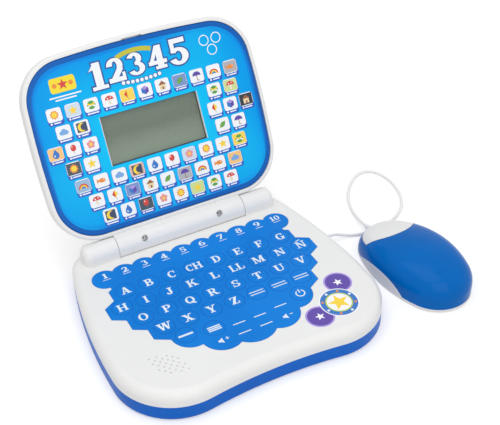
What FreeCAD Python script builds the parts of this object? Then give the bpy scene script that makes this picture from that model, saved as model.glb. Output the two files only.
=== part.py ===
"""Toy laptop computer with a corded mouse, as an assembly of separate pieces.

Frame: millimetres, +Z up, origin on the desk at the centre of the laptop's underside,
+Y towards the lid's hinge, +X towards the mouse. The lid stands open, as it is used.
"""
import FreeCAD, Part
import Sketcher
import math
import os

doc = FreeCAD.newDocument("toy_laptop")
sheet = doc.addObject("Spreadsheet::Sheet", "Sizes")

# Driving dimensions in millimetres and degrees
SIZES = {
    # Base outline, seen from above
    "base_width": 203.6,
    "base_depth": 169.0,
    "rear_width": 176.0,
    "rear_corner_radius": 18.0,
    "front_corner_radius": 45.0,
    "base_side_radius": 392.0,
    "waist_depth": 4.0,
    # Base height and walls
    "base_height": 23.4,
    "parting_height": 12.6,
    "shell_wall": 2.2,
    "top_edge_radius": 7.0,
    "bottom_edge_radius": 3.0,
    "seat_clearance": 0.2,
    # Hinge
    "hinge_y": 71.5,
    "hinge_z": 27.0,
    "barrel_radius": 8.8,
    "knuckle_length": 104.0,
    "boss_length": 26.0,
    "boss_end_radius": 5.0,
    "hinge_gap": 0.4,
    "pin_radius": 2.0,
    "pin_length": 26.0,
    "running_clearance": 0.05,
    "lid_lean": 28.5,
    # Keypad film
    "key_pitch": 18.0,
    "key_row_pitch": 15.6,
    "key_row_y": 25.7,
    "keypad_x": -0.9,
    "number_pitch": 15.6,
    "number_y": 45.6,
    "number_radius": 9.8,
    "outer_scallop_x": 40.0,
    "outer_scallop_y": -32.8,
    "outer_scallop_radius": 14.5,
    "scallop_x": 22.0,
    "scallop_y": -44.4,
    "scallop_radius": 15.5,
    "middle_scallop_y": -44.0,
    "middle_scallop_radius": 19.0,
    "cell_overlap": 1.8,
    "overlay_thickness": 0.4,
    "membrane_thickness": 0.6,
    "tail_width": 14.0,
    "tail_thickness": 0.4,
    "tail_x": 20.0,
    "tail_y": -20.0,
    # Speaker and its grille
    "speaker_x": -66.5,
    "speaker_y": -52.8,
    "speaker_radius": 19.0,
    "speaker_flange": 1.0,
    "speaker_depth": 12.0,
    "magnet_radius": 9.5,
    "magnet_height": 5.0,
    "cone_thickness": 0.5,
    "speaker_ring_wall": 1.5,
    "speaker_ring_depth": 4.0,
    "grille_hole_radius": 0.8,
    "grille_pitch": 4.0,
    "grille_row_pitch": 3.4,
    "grille_turn": -45.5,
    # Case screws
    "front_screw_x": 38.0,
    "front_screw_y": -70.0,
    "middle_screw_x": 91.0,
    "middle_screw_y": -10.0,
    "rear_screw_x": 83.0,
    "rear_screw_y": 49.0,
    "screw_boss_radius": 4.0,
    "screw_shank_radius": 1.3,
    "screw_head_radius": 2.7,
    "screw_head_height": 1.6,
    "screw_length": 10.0,
    "screw_seat": 4.0,
    # Battery bay
    "cell_radius": 7.2,
    "cell_length": 49.2,
    "cell_nub_radius": 2.7,
    "cell_nub_length": 1.2,
    "cell_pitch": 15.2,
    "bay_y": 32.0,
    "bay_wall": 1.6,
    "bay_ledge": 3.0,
    "contact_thickness": 0.4,
    "contact_size": 11.0,
    "contact_bump": 1.4,
    "door_tab_width": 14.0,
    "door_tab_depth": 9.0,
    # Main board
    "board_length": 96.0,
    "board_depth": 40.0,
    "board_thickness": 1.6,
    "board_x": 16.0,
    "board_y": -22.0,
    "board_level": 8.0,
    "board_screw_inset": 5.0,
    "board_boss_radius": 3.0,
    "chip_radius": 6.5,
    "chip_height": 1.8,
    "socket_width": 17.0,
    "socket_depth": 5.0,
    "socket_height": 3.0,
    # Lid outline, up the lid from the hinge axis
    "lid_width": 183.0,
    "lid_bottom": 9.2,
    "lid_top": 147.0,
    "lid_corner_radius": 34.0,
    "lid_side_radius": 680.0,
    "lid_top_radius": 900.0,
    # Lid thickness, from the hinge axis to the front and to the back
    "lid_front": 3.2,
    "lid_split": 2.5,
    "lid_back": 11.3,
    "lid_wall": 2.0,
    "lid_front_edge_radius": 2.0,
    "lid_back_edge_radius": 6.0,
    "rim_width": 3.3,
    "frame_ledge": 13.0,
    "panel_thickness": 2.0,
    "panel_recess": 0.5,
    "panel_edge_radius": 1.2,
    "graphic_margin": 4.0,
    "graphic_thickness": 0.2,
    "neck_front": 2.5,
    "notch_length": 16.0,
    "notch_width": 0.8,
    "notch_depth": 2.4,
    "notch_inset": 1.0,
    "hinge_screw_x": 31.0,
    "hinge_screw_y": 1.5,
    "hinge_screw_hole_radius": 2.4,
    "hinge_screw_seat": 3.0,
    "lid_screw_x": 76.0,
    "lid_screw_low": 36.0,
    "lid_screw_high": 120.0,
    # Display
    "display_width": 78.4,
    "display_height": 36.9,
    "display_y": 77.2,
    "window_lap": 3.0,
    "window_thickness": 1.5,
    "glass_lap": 4.6,
    "glass_thickness": 2.2,
    "reflector_thickness": 0.4,
    "strip_width": 2.4,
    "strip_height": 2.0,
    "display_board_lap": 12.0,
    "display_screw_inset": 5.0,
    # Mouse, in its own frame with +Y towards its nose
    "mouse_x": 146.9,
    "mouse_y": -44.4,
    "mouse_turn": 5.5,
    "mouse_height": 29.8,
    "mouse_rear_y": -11.0,
    "mouse_rear_radius": 26.8,
    "mouse_nose_y": 40.3,
    "mouse_nose_radius": 25.0,
    "mouse_side_radius": 100.0,
    "crown_radius": 112.0,
    "crown_y": 4.4,
    "crown_axis_drop": 34.0,
    "crown_reach": 90.0,
    "mouse_edge_radius": 17.0,
    "mouse_wall": 2.0,
    "mouse_parting_top": 12.2,
    "mouse_parting_y": 14.0,
    "mouse_parting_front_radius": 60.0,
    "mouse_parting_rear_radius": 29.0,
    "glide_thickness": 0.6,
    "glide_length": 22.0,
    "glide_width": 6.0,
    "glide_y": 34.0,
    # Mouse button and its switch
    "button_arc_radius": 25.2,
    "button_arc_y": 54.8,
    "button_inset": 3.0,
    "button_bottom": 9.0,
    "button_gap": 0.35,
    "button_travel": 0.6,
    "stem_radius": 2.4,
    "stem_y": 46.0,
    "mouse_board_width": 26.0,
    "mouse_board_depth": 22.0,
    "mouse_board_level": 5.0,
    "mouse_board_y": 42.0,
    "switch_size": 6.2,
    "switch_height": 3.4,
    "plunger_radius": 1.7,
    "plunger_height": 1.9,
    "mouse_screw_y": -12.0,
    "mouse_boss_level": 9.0,
    # Cord and its two strain reliefs
    "cord_diameter": 2.4,
    "relief_radius": 3.0,
    "relief_tip_radius": 1.9,
    "relief_flange_radius": 4.0,
    "relief_flange": 2.0,
    "relief_y": 28.5,
    "relief_z": 6.5,
    "relief_inner_x": 91.5,
    "relief_tip_x": 104.0,
    "mouse_relief_z": 5.6,
    "mouse_relief_radius": 2.2,
    "mouse_relief_inner_y": 57.3,
    "mouse_relief_tip_y": 70.3,
    "cord_lead": 7.6,
    # Sticker at the front right of the base
    "sticker_x": 63.4,
    "sticker_y": -55.8,
    "sticker_radius": 14.6,
    "sticker_ear_radius": 11.0,
    "sticker_rear_ear_x": 10.2,
    "sticker_rear_ear_y": 18.4,
    "sticker_front_ear_x": -19.2,
    "sticker_front_ear_y": -6.2,
    "sticker_thickness": 0.2,
}

for row, (alias, value) in enumerate(SIZES.items(), start=1):
    sheet.set(f"A{row}", alias)
    sheet.set(f"B{row}", str(value))
    sheet.setAlias(f"B{row}", alias)
doc.recompute()


class Dim:
    """A dimension: its value now, and the sheet expression that gives it."""

    def __init__(self, value, text):
        self.value = float(value)
        self.text = text

    def __add__(self, other):
        other = dim(other)
        return Dim(self.value + other.value, f"({self.text} + {other.text})")

    def __sub__(self, other):
        other = dim(other)
        return Dim(self.value - other.value, f"({self.text} - {other.text})")

    def __mul__(self, other):
        other = dim(other)
        return Dim(self.value * other.value, f"({self.text} * {other.text})")

    def __truediv__(self, other):
        other = dim(other)
        return Dim(self.value / other.value, f"({self.text} / {other.text})")

    def __neg__(self):
        return Dim(-self.value, f"(0 - {self.text})")

    def root(self):
        return Dim(math.sqrt(self.value), f"sqrt({self.text})")


def dim(number):
    """A plain number as a dimension."""
    return number if isinstance(number, Dim) else Dim(number, repr(float(number)))


class Sheet:
    """The sheet's cells by alias, such as size.base_width."""

    def __getattr__(self, alias):
        return Dim(getattr(sheet, alias), f"Sizes.{alias}")


size = Sheet()
ZERO = dim(0)
TO_X = FreeCAD.Rotation(FreeCAD.Vector(0, 1, 0), 90)
TO_Y = FreeCAD.Rotation(FreeCAD.Vector(1, 0, 0), -90)
X_AXIS = FreeCAD.Vector(1, 0, 0)
Z_AXIS = FreeCAD.Vector(0, 0, 1)
HEX_FLAT = math.cos(math.pi / 6)
SIDES = (-1, 1)
nodes = []


# Helpers that bind document objects to the sheet


def bind(thing, **sizes):
    """Give each named property of a document object its sheet expression."""
    for name, dimension in sizes.items():
        thing.setExpression(name, dim(dimension).text)
    return thing


def place(thing, at, turn=None):
    """Put a document object at a point, turned by a fixed rotation."""
    if turn is not None:
        thing.Placement = FreeCAD.Placement(FreeCAD.Vector(), turn)
    for letter, dimension in zip("xyz", at):
        thing.setExpression(f"Placement.Base.{letter}", dim(dimension).text)
    return thing


def node(thing, label):
    """Name a finished piece, to be written as its own file."""
    thing.Label = label
    nodes.append(thing)
    return thing


def on_lid(thing):
    """Set a piece made flat, hinge axis at its origin, at the lid's open angle."""
    place(thing, (ZERO, size.hinge_y, size.hinge_z), FreeCAD.Rotation(X_AXIS, 1))
    thing.setExpression("Placement.Rotation.Angle", (dim(90) - size.lid_lean).text)
    return thing


def on_mouse(thing):
    """Set a piece made in the mouse's own frame where the mouse lies."""
    place(thing, (size.mouse_x, size.mouse_y, ZERO), FreeCAD.Rotation(Z_AXIS, 1))
    thing.setExpression("Placement.Rotation.Angle", size.mouse_turn.text)
    return thing


def primitive(kind, at, turn=None, **sizes):
    """A Part primitive such as Box or Cylinder."""
    return place(bind(doc.addObject("Part::" + kind, kind), **sizes), at, turn)


def block(centre, low, length, width, height):
    """A box centred on x and y, standing on a level."""
    x, y = (dim(value) for value in centre)
    at = (x - length / 2, y - width / 2, low)
    return primitive("Box", at, Length=length, Width=width, Height=height)


def rod(centre, low, radius, height):
    """An upright cylinder standing on a level."""
    return primitive("Cylinder", (*centre, low), Radius=radius, Height=height)


def cut(base, *tools):
    """The base with each tool taken away."""
    for tool in tools:
        result = doc.addObject("Part::Cut", "Cut")
        result.Base = base
        result.Tool = tool
        base = result
    return base


def fuse(*pieces):
    """Touching pieces as one solid."""
    result = doc.addObject("Part::MultiFuse", "Fuse")
    result.Shapes = list(pieces)
    result.Refine = True
    return result


def common(*pieces):
    """What all the pieces share."""
    result = doc.addObject("Part::MultiCommon", "Common")
    result.Shapes = list(pieces)
    return result


def group(pieces):
    """Identical separate solids in one node."""
    result = doc.addObject("Part::Compound", "Group")
    result.Links = list(pieces)
    return result


def screw(x, y, seat, points_up, length):
    """A pan-head screw whose head's underside lies on the seat level."""
    head_low = seat - size.screw_head_height if points_up else seat
    shank_low = seat if points_up else seat - length
    head = rod((x, y), head_low, size.screw_head_radius, size.screw_head_height)
    shank = rod((x, y), shank_low, size.screw_shank_radius, length)
    return fuse(head, shank)


# Helpers for bodies made of sketches and features


def origin_part(body, role):
    """A plane or an axis of the body's own origin."""
    return next(part for part in body.Origin.OriginFeatures if part.Role == role)


def new_sketch(body, name, role="XY_Plane", level=ZERO):
    """A sketch on one of the body's planes, raised to a level."""
    sketch = body.newObject("Sketcher::SketchObject", name)
    sketch.AttachmentSupport = (origin_part(body, role), [""])
    sketch.MapMode = "FlatFace"
    sketch.setExpression("AttachmentOffset.Base.z", level.text)
    return sketch


def datum(sketch, kind, *terms):
    """A dimension constraint; the last term is its size."""
    *where, dimension = terms
    index = sketch.addConstraint(Sketcher.Constraint(kind, *where, dimension.value))
    sketch.setExpression(f"Constraints[{index}]", dimension.text)


def centre_and_radius(sketch, arc, x, y, radius):
    """Fix an arc's centre and radius."""
    datum(sketch, "DistanceX", -1, 1, arc, 3, x)
    datum(sketch, "DistanceY", -1, 1, arc, 3, y)
    datum(sketch, "Radius", arc, radius)


def arc_between(centre, radius, start, end):
    """An anticlockwise arc round a centre, from the start's direction to the end's."""
    first = math.atan2(start[1] - centre[1], start[0] - centre[0])
    last = math.atan2(end[1] - centre[1], end[0] - centre[0])
    circle = Part.Circle(FreeCAD.Vector(*centre, 0), Z_AXIS, radius)
    return Part.ArcOfCircle(circle, first, last if last > first else last + 2 * math.pi)


def towards(start, end, distance):
    """The point that lies a distance from start on the line to end."""
    gap = math.dist(start, end)
    return tuple(a + (b - a) * distance / gap for a, b in zip(start, end))


def side_centre(first, first_gap, second, second_gap):
    """Centre of the side arc, on the far side of the middle, at a gap from two corners."""
    span = math.dist(first, second)
    along = (first_gap ** 2 - second_gap ** 2 + span ** 2) / (2 * span)
    across = math.sqrt(first_gap ** 2 - along ** 2)
    step = ((second[0] - first[0]) / span, (second[1] - first[1]) / span)
    foot = (first[0] + along * step[0], first[1] + along * step[1])
    return (foot[0] + across * step[1], foot[1] - across * step[0])


class Outline:
    """A case outline: a straight end, bowed sides and a curved end, all joined by arcs.

    The straight end lies towards +Y, or towards -Y where flip is -1. Every inset outline
    keeps the same arc centres, so walls between two of them are even all round.
    """

    def __init__(self, straight, curved, side_radius, end_radius, bulge, flip):
        self.straight = straight
        self.curved = curved
        self.side_radius = side_radius
        self.end_radius = end_radius
        self.bulge = bulge
        self.flip = flip

    def draw(self, sketch, inset):
        """Draw the outline, moved inwards by the inset, into a sketch."""
        near_x, near_y, near_radius = self.straight
        far_x, far_y, far_radius = self.curved
        near = (near_x.value, near_y.value)
        far = (far_x.value, far_y.value)
        near_arc = near_radius - inset
        far_arc = far_radius - inset
        side_arc = self.side_radius - inset
        end_arc = self.end_radius - inset * self.bulge
        side = side_centre(
            near, self.side_radius.value - near_radius.value,
            far, self.side_radius.value - far_radius.value,
        )
        end_gap = self.end_radius.value - self.bulge * far_radius.value
        end = (0.0, far[1] + self.bulge * math.sqrt(end_gap ** 2 - far[0] ** 2))
        corner = (near[0], near[1] + near_arc.value)
        near_side = towards(near, side, -near_arc.value)
        far_side = towards(far, side, -far_arc.value)
        far_end = towards(far, end, -self.bulge * far_arc.value)

        def left(point):
            return (-point[0], point[1])

        end_points = (left(far_end), far_end)[::self.bulge]
        arcs = (
            (left(near), near_arc, left(corner), left(near_side)),
            (left(side), side_arc, left(near_side), left(far_side)),
            (left(far), far_arc, left(far_side), left(far_end)),
            (end, end_arc, *end_points),
            (far, far_arc, far_end, far_side),
            (side, side_arc, far_side, near_side),
            (near, near_arc, near_side, corner),
        )

        def turned(point):
            return (self.flip * point[0], self.flip * point[1])

        ends = [FreeCAD.Vector(*turned(point), 0) for point in (corner, left(corner))]
        sketch.addGeometry(Part.LineSegment(*ends), False)
        for centre, radius, start, stop in arcs:
            arc = arc_between(turned(centre), radius.value, turned(start), turned(stop))
            sketch.addGeometry(arc, False)
        entry, leave = (1, 2)[::self.bulge]
        joins = ((0, 2, 1, 1), (1, 2, 2, 1), (2, 2, 3, 1), (3, 2, 4, entry),
                 (4, leave, 5, 1), (5, 2, 6, 1), (6, 2, 7, 1), (7, 2, 0, 1))
        for join in joins:
            sketch.addConstraint(Sketcher.Constraint("Tangent", *join))
        centre_and_radius(sketch, 1, near_x * -self.flip, near_y * self.flip, near_arc)
        centre_and_radius(sketch, 7, near_x * self.flip, near_y * self.flip, near_arc)
        centre_and_radius(sketch, 3, far_x * -self.flip, far_y * self.flip, far_arc)
        centre_and_radius(sketch, 5, far_x * self.flip, far_y * self.flip, far_arc)
        for arc in (2, 6):
            datum(sketch, "Radius", arc, side_arc)
        datum(sketch, "Radius", 4, end_arc)


def extrude(body, kind, sketch, length, **options):
    """A Pad or a Pocket of a sketch."""
    feature = body.newObject("PartDesign::" + kind, kind)
    feature.Profile = sketch
    bind(feature, Length=length)
    for name, value in options.items():
        setattr(feature, name, value)
    return feature


def add_outline(body, kind, outline, inset, level, length, **options):
    """Pad or pocket an outline that starts at a level."""
    sketch = new_sketch(body, kind + "Outline", level=level)
    outline.draw(sketch, dim(inset))
    return extrude(body, kind, sketch, length, **options)


def level_edges(shape, level):
    """Names of the edges that lie flat at a level."""
    names = []
    for index, edge in enumerate(shape.Edges, start=1):
        box = edge.BoundBox
        if max(abs(box.ZMin - level.value), abs(box.ZMax - level.value)) < 0.001:
            names.append(f"Edge{index}")
    return names


def round_level(body, level, radius):
    """Fillet every edge of the body that lies flat at a level."""
    doc.recompute()
    base = body.Tip
    fillet = body.newObject("PartDesign::Fillet", "Fillet")
    fillet.Base = (base, level_edges(base.Shape, level))
    return bind(fillet, Radius=radius)


def feature(body, kind, at, turn=None, **sizes):
    """A PartDesign primitive such as AdditiveBox or SubtractiveCylinder."""
    return place(bind(body.newObject("PartDesign::" + kind, kind), **sizes), at, turn)


def add_block(body, kind, centre, low, length, width, height):
    """An additive or subtractive box, centred on x and y, standing on a level."""
    x, y = (dim(value) for value in centre)
    at = (x - length / 2, y - width / 2, low)
    return feature(body, kind + "Box", at, Length=length, Width=width, Height=height)


def add_rod(body, kind, centre, low, radius, height):
    """An additive or subtractive upright cylinder standing on a level."""
    return feature(body, kind + "Cylinder", (*centre, low), Radius=radius, Height=height)


def repeat(body, original, direction, length, count):
    """Repeat a feature evenly along a direction."""
    pattern = body.newObject("PartDesign::LinearPattern", "Row")
    pattern.Originals = [original]
    pattern.Direction = direction
    pattern.Occurrences = count
    bind(pattern, Length=length)
    body.Tip = pattern
    return pattern


def new_body(name):
    return doc.addObject("PartDesign::Body", name)


# Values that several pieces share

rear_corner = (
    size.rear_width / 2 - size.rear_corner_radius,
    size.base_depth / 2 - size.rear_corner_radius,
    size.rear_corner_radius,
)
front_corner = (
    size.base_width / 2 - size.front_corner_radius,
    size.front_corner_radius - size.base_depth / 2,
    size.front_corner_radius,
)
waist_reach = size.front_corner_radius - size.waist_depth
waist_radius = (
    front_corner[0] * front_corner[0] + waist_reach * waist_reach
    - size.front_corner_radius * size.front_corner_radius
) / (size.waist_depth * 2)
base_outline = Outline(rear_corner, front_corner, size.base_side_radius, waist_radius, -1, 1)

lid_corner_x = size.lid_width / 2 - size.lid_corner_radius
lid_outline = Outline(
    (lid_corner_x, -(size.lid_bottom + size.lid_corner_radius), size.lid_corner_radius),
    (lid_corner_x, size.lid_corner_radius - size.lid_top, size.lid_corner_radius),
    size.lid_side_radius, size.lid_top_radius, 1, -1,
)

ceiling = size.base_height - size.shell_wall
boss_start = size.knuckle_length / 2 + size.hinge_gap
keypad_depth = size.overlay_thickness + size.membrane_thickness
screw_hole_radius = size.screw_shank_radius + size.running_clearance
pin_hole_radius = size.pin_radius + size.running_clearance
board_top = size.board_level + size.board_thickness
case_screws_at = [
    (x * side, y)
    for x, y in (
        (size.front_screw_x, size.front_screw_y),
        (size.middle_screw_x, size.middle_screw_y),
        (size.rear_screw_x, size.rear_screw_y),
    )
    for side in SIDES
]
board_screws_at = [
    (
        size.board_x + (size.board_length / 2 - size.board_screw_inset) * along,
        size.board_y + (size.board_depth / 2 - size.board_screw_inset) * across,
    )
    for along in SIDES
    for across in SIDES
]


# Keypad: one printed film over a contact sheet, its outline made of hexagonal and round cells


def keypad_cells(body, kind, low, height, grow):
    """The rows of key cells, the scallops along the front and the strips between them."""
    grow = dim(grow)
    hexagon = size.key_pitch / (2 * HEX_FLAT) + size.cell_overlap + grow
    half_turn = FreeCAD.Rotation(Z_AXIS, 90)

    def cell_row(shape, count, pitch, y, turn=None, **sizes):
        first_x = size.keypad_x + pitch * (1 - count) / 2
        first = feature(body, kind + shape, (first_x, y, low), turn, Height=height, **sizes)
        repeat(body, first, (origin_part(body, "X_Axis"), [""]), pitch * (count - 1), count)

    def strip(half_width, low_y, high_y):
        centre = (size.keypad_x, (low_y + high_y) / 2)
        depth = high_y - low_y
        add_block(body, kind, centre, low, half_width * 2 + grow * 2, depth, height)

    for row, count in enumerate((8, 9, 8, 7)):
        y = size.key_row_y - size.key_row_pitch * row
        cell_row("Prism", count, size.key_pitch, y, half_turn, Circumradius=hexagon)
    strip(size.number_pitch * 4.5, size.key_row_y, size.number_y)
    cell_row("Cylinder", 10, size.number_pitch, size.number_y, Radius=size.number_radius + grow)
    last_row_y = size.key_row_y - size.key_row_pitch * 3
    strip(size.outer_scallop_x, size.outer_scallop_y, last_row_y)
    strip(size.scallop_x, size.scallop_y, size.outer_scallop_y)
    middle = (size.keypad_x, size.middle_scallop_y)
    add_rod(body, kind, middle, low, size.middle_scallop_radius + grow, height)
    for side in SIDES:
        near = (size.keypad_x + size.scallop_x * side, size.scallop_y)
        outer = (size.keypad_x + size.outer_scallop_x * side, size.outer_scallop_y)
        add_rod(body, kind, near, low, size.scallop_radius + grow, height)
        add_rod(body, kind, outer, low, size.outer_scallop_radius + grow, height)


overlay = new_body("keypad_overlay")
keypad_cells(
    overlay, "Additive", size.base_height - size.overlay_thickness, size.overlay_thickness, 0
)
node(overlay, "keypad_overlay")

membrane = new_body("keypad_membrane")
membrane_low = size.base_height - keypad_depth
keypad_cells(
    membrane, "Additive", membrane_low, size.membrane_thickness, 0
)
tail_low = board_top + size.socket_height
add_block(
    membrane, "Additive", (size.tail_x, size.tail_y), tail_low,
    size.tail_width, size.tail_thickness, membrane_low - tail_low,
)
node(membrane, "keypad_membrane")


# Upper shell: the white keyboard deck with its hinge bosses, knuckle trough and grille

upper = new_body("upper_shell")
add_outline(
    upper, "Pad", base_outline, 0, size.parting_height,
    size.base_height - size.parting_height,
)
round_level(upper, size.base_height, size.top_edge_radius)
add_outline(
    upper, "Pocket", base_outline, size.shell_wall, size.parting_height,
    ceiling - size.parting_height, Reversed=True,
)
round_level(upper, ceiling, size.top_edge_radius - size.shell_wall)

trough_wall = size.barrel_radius + size.hinge_gap + size.shell_wall
trough_low = size.hinge_z - trough_wall
add_block(
    upper, "Additive", (ZERO, size.base_depth / 2 - trough_wall), trough_low,
    boss_start * 2 + size.boss_length, trough_wall * 2 - size.shell_wall,
    size.base_height - trough_low - size.shell_wall / 2,
)
for side in SIDES:
    start = boss_start if side > 0 else -(boss_start + size.boss_length)
    feature(
        upper, "AdditiveCylinder", (start, size.hinge_y, size.hinge_z), TO_X,
        Radius=size.barrel_radius, Height=size.boss_length,
    )
    pedestal_low = ceiling - size.shell_wall
    add_block(
        upper, "Additive", (start + size.boss_length / 2, size.hinge_y), pedestal_low,
        size.boss_length, size.barrel_radius * 2, size.hinge_z - pedestal_low,
    )
doc.recompute()
bosses = upper.Tip
boss_end = boss_start + size.boss_length
end_edges = []
for index, edge in enumerate(bosses.Shape.Edges, start=1):
    box = edge.BoundBox
    at_end = min(abs(box.XMin), abs(box.XMax)) > boss_end.value - 0.001
    if at_end and box.XLength < 0.001 and box.ZMax > size.base_height.value + 0.1:
        end_edges.append(f"Edge{index}")
boss_rounding = upper.newObject("PartDesign::Fillet", "BossEnds")
boss_rounding.Base = (bosses, end_edges)
bind(boss_rounding, Radius=size.boss_end_radius)
feature(
    upper, "SubtractiveCylinder", (-boss_start, size.hinge_y, size.hinge_z), TO_X,
    Radius=size.barrel_radius + size.hinge_gap, Height=boss_start * 2,
)
pin_reach = size.pin_length / 2
feature(
    upper, "SubtractiveCylinder", (-(boss_start + pin_reach), size.hinge_y, size.hinge_z), TO_X,
    Radius=pin_hole_radius, Height=(boss_start + pin_reach) * 2,
)

speaker_at = (size.speaker_x, size.speaker_y)
ring_radius = size.speaker_radius + size.seat_clearance
ring_low = ceiling - size.speaker_ring_depth
add_rod(
    upper, "Additive", speaker_at, ring_low, ring_radius + size.speaker_ring_wall,
    size.speaker_ring_depth,
)
add_rod(upper, "Subtractive", speaker_at, ring_low, ring_radius, size.speaker_ring_depth)
for at in case_screws_at:
    add_rod(
        upper, "Additive", at, size.parting_height, size.screw_boss_radius,
        ceiling - size.parting_height + size.shell_wall / 2,
    )
    add_rod(
        upper, "Subtractive", at, size.parting_height, screw_hole_radius,
        size.screw_length - size.screw_seat + size.seat_clearance,
    )

keypad_cells(upper, "Subtractive", membrane_low, keypad_depth, size.seat_clearance)
add_block(
    upper, "Subtractive", (size.tail_x, size.tail_y), ceiling,
    size.tail_width + size.seat_clearance * 2, size.tail_thickness + size.seat_clearance * 2,
    size.shell_wall,
)

grille_rows = (3, 6, 8, 6, 3)
for row, count in enumerate(grille_rows):
    holes = new_sketch(upper, "GrilleRow", level=ceiling)
    holes.AttachmentOffset = FreeCAD.Placement(FreeCAD.Vector(), FreeCAD.Rotation(Z_AXIS, 1))
    bind(holes, **{
        "AttachmentOffset.Base.x": size.speaker_x,
        "AttachmentOffset.Base.y": size.speaker_y,
        "AttachmentOffset.Rotation.Angle": size.grille_turn,
    })
    first_x = size.grille_pitch * (1 - count) / 2
    first_y = size.grille_row_pitch * ((len(grille_rows) - 1) / 2 - row)
    hole_centre = FreeCAD.Vector(first_x.value, first_y.value, 0)
    holes.addGeometry(Part.Circle(hole_centre, Z_AXIS, size.grille_hole_radius.value), False)
    centre_and_radius(holes, 0, first_x, first_y, size.grille_hole_radius)
    pocket = extrude(upper, "Pocket", holes, size.shell_wall, Reversed=True)
    repeat(upper, pocket, (holes, ["H_Axis"]), size.grille_pitch * (count - 1), count)
node(upper, "upper_shell")


# Lower shell: the blue tub with screw wells, board posts and the battery bay

bay_length = size.cell_length + size.cell_nub_length + (size.contact_thickness + size.contact_bump) * 2
bay_width = size.cell_pitch * 2 + size.cell_radius * 2 + size.seat_clearance * 4
frame_width = bay_width + size.bay_ledge * 2
tab_y = size.bay_y - bay_width / 2 - size.door_tab_depth / 2
door_screw_y = tab_y - size.door_tab_depth / 2 + size.screw_boss_radius

lower = new_body("lower_shell")
add_outline(lower, "Pad", base_outline, 0, ZERO, size.parting_height)
round_level(lower, ZERO, size.bottom_edge_radius)
add_outline(
    lower, "Pocket", base_outline, size.shell_wall, size.parting_height,
    size.parting_height - size.shell_wall,
)
bay_height = size.parting_height - size.shell_wall
add_block(
    lower, "Additive", (ZERO, size.bay_y), size.shell_wall,
    bay_length + size.bay_wall * 2, frame_width + size.bay_wall * 2, bay_height,
)
add_rod(
    lower, "Additive", (ZERO, door_screw_y), size.shell_wall, size.screw_boss_radius, bay_height
)
add_block(
    lower, "Subtractive", (ZERO, size.bay_y), size.shell_wall, bay_length, frame_width, bay_height
)
add_block(
    lower, "Subtractive", (ZERO, size.bay_y), ZERO, bay_length, bay_width, size.shell_wall
)
add_block(
    lower, "Subtractive", (ZERO, tab_y), ZERO,
    size.door_tab_width, size.door_tab_depth, size.shell_wall,
)
add_rod(
    lower, "Subtractive", (ZERO, door_screw_y), size.shell_wall, screw_hole_radius,
    size.screw_length - size.shell_wall / 2 + size.seat_clearance,
)
for at in case_screws_at:
    well_depth = size.parting_height - size.screw_seat
    add_rod(lower, "Additive", at, ZERO, size.screw_boss_radius, size.parting_height)
    add_rod(
        lower, "Subtractive", at, ZERO, size.screw_head_radius + size.seat_clearance, well_depth
    )
    add_rod(lower, "Subtractive", at, well_depth, screw_hole_radius, size.screw_seat)
for at in board_screws_at:
    post_height = size.board_level - size.shell_wall
    add_rod(lower, "Additive", at, size.shell_wall, size.board_boss_radius, post_height)
    add_rod(lower, "Subtractive", at, size.shell_wall, screw_hole_radius, post_height)
feature(
    lower, "SubtractiveCylinder", (size.relief_inner_x, size.relief_y, size.relief_z), TO_X,
    Radius=size.relief_radius + size.running_clearance,
    Height=size.relief_tip_x - size.relief_inner_x,
)
node(lower, "lower_shell")


# Battery door with its screw tab and two tongues, the cells and their contacts

door = new_body("battery_door")
door_gap = size.seat_clearance * 2
add_block(
    door, "Additive", (ZERO, size.bay_y), ZERO, bay_length - door_gap, bay_width - door_gap,
    size.shell_wall,
)
add_block(
    door, "Additive", (ZERO, tab_y + size.seat_clearance), ZERO,
    size.door_tab_width - door_gap, size.door_tab_depth, size.shell_wall,
)
for side in SIDES:
    tongue_y = size.bay_y + bay_width / 2
    add_block(
        door, "Additive", (bay_length / 4 * side, tongue_y), size.shell_wall,
        size.door_tab_width, size.bay_ledge, size.contact_thickness,
    )
    add_block(
        door, "Additive", (bay_length / 4 * side, tongue_y - size.bay_ledge / 2),
        size.shell_wall / 2, size.door_tab_width, size.bay_ledge / 2, size.shell_wall / 2,
    )
head_recess = size.shell_wall / 2
add_rod(
    door, "Subtractive", (ZERO, door_screw_y), ZERO,
    size.screw_head_radius + size.seat_clearance, head_recess,
)
add_rod(door, "Subtractive", (ZERO, door_screw_y), head_recess, screw_hole_radius, head_recess)
node(door, "battery_door")

door_screw_head = rod(
    (ZERO, door_screw_y), size.seat_clearance, size.screw_head_radius,
    head_recess - size.seat_clearance,
)
door_screw_shank = rod((ZERO, door_screw_y), head_recess, size.screw_shank_radius, size.screw_length)
node(fuse(door_screw_head, door_screw_shank), "battery_door_screw")

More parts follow.
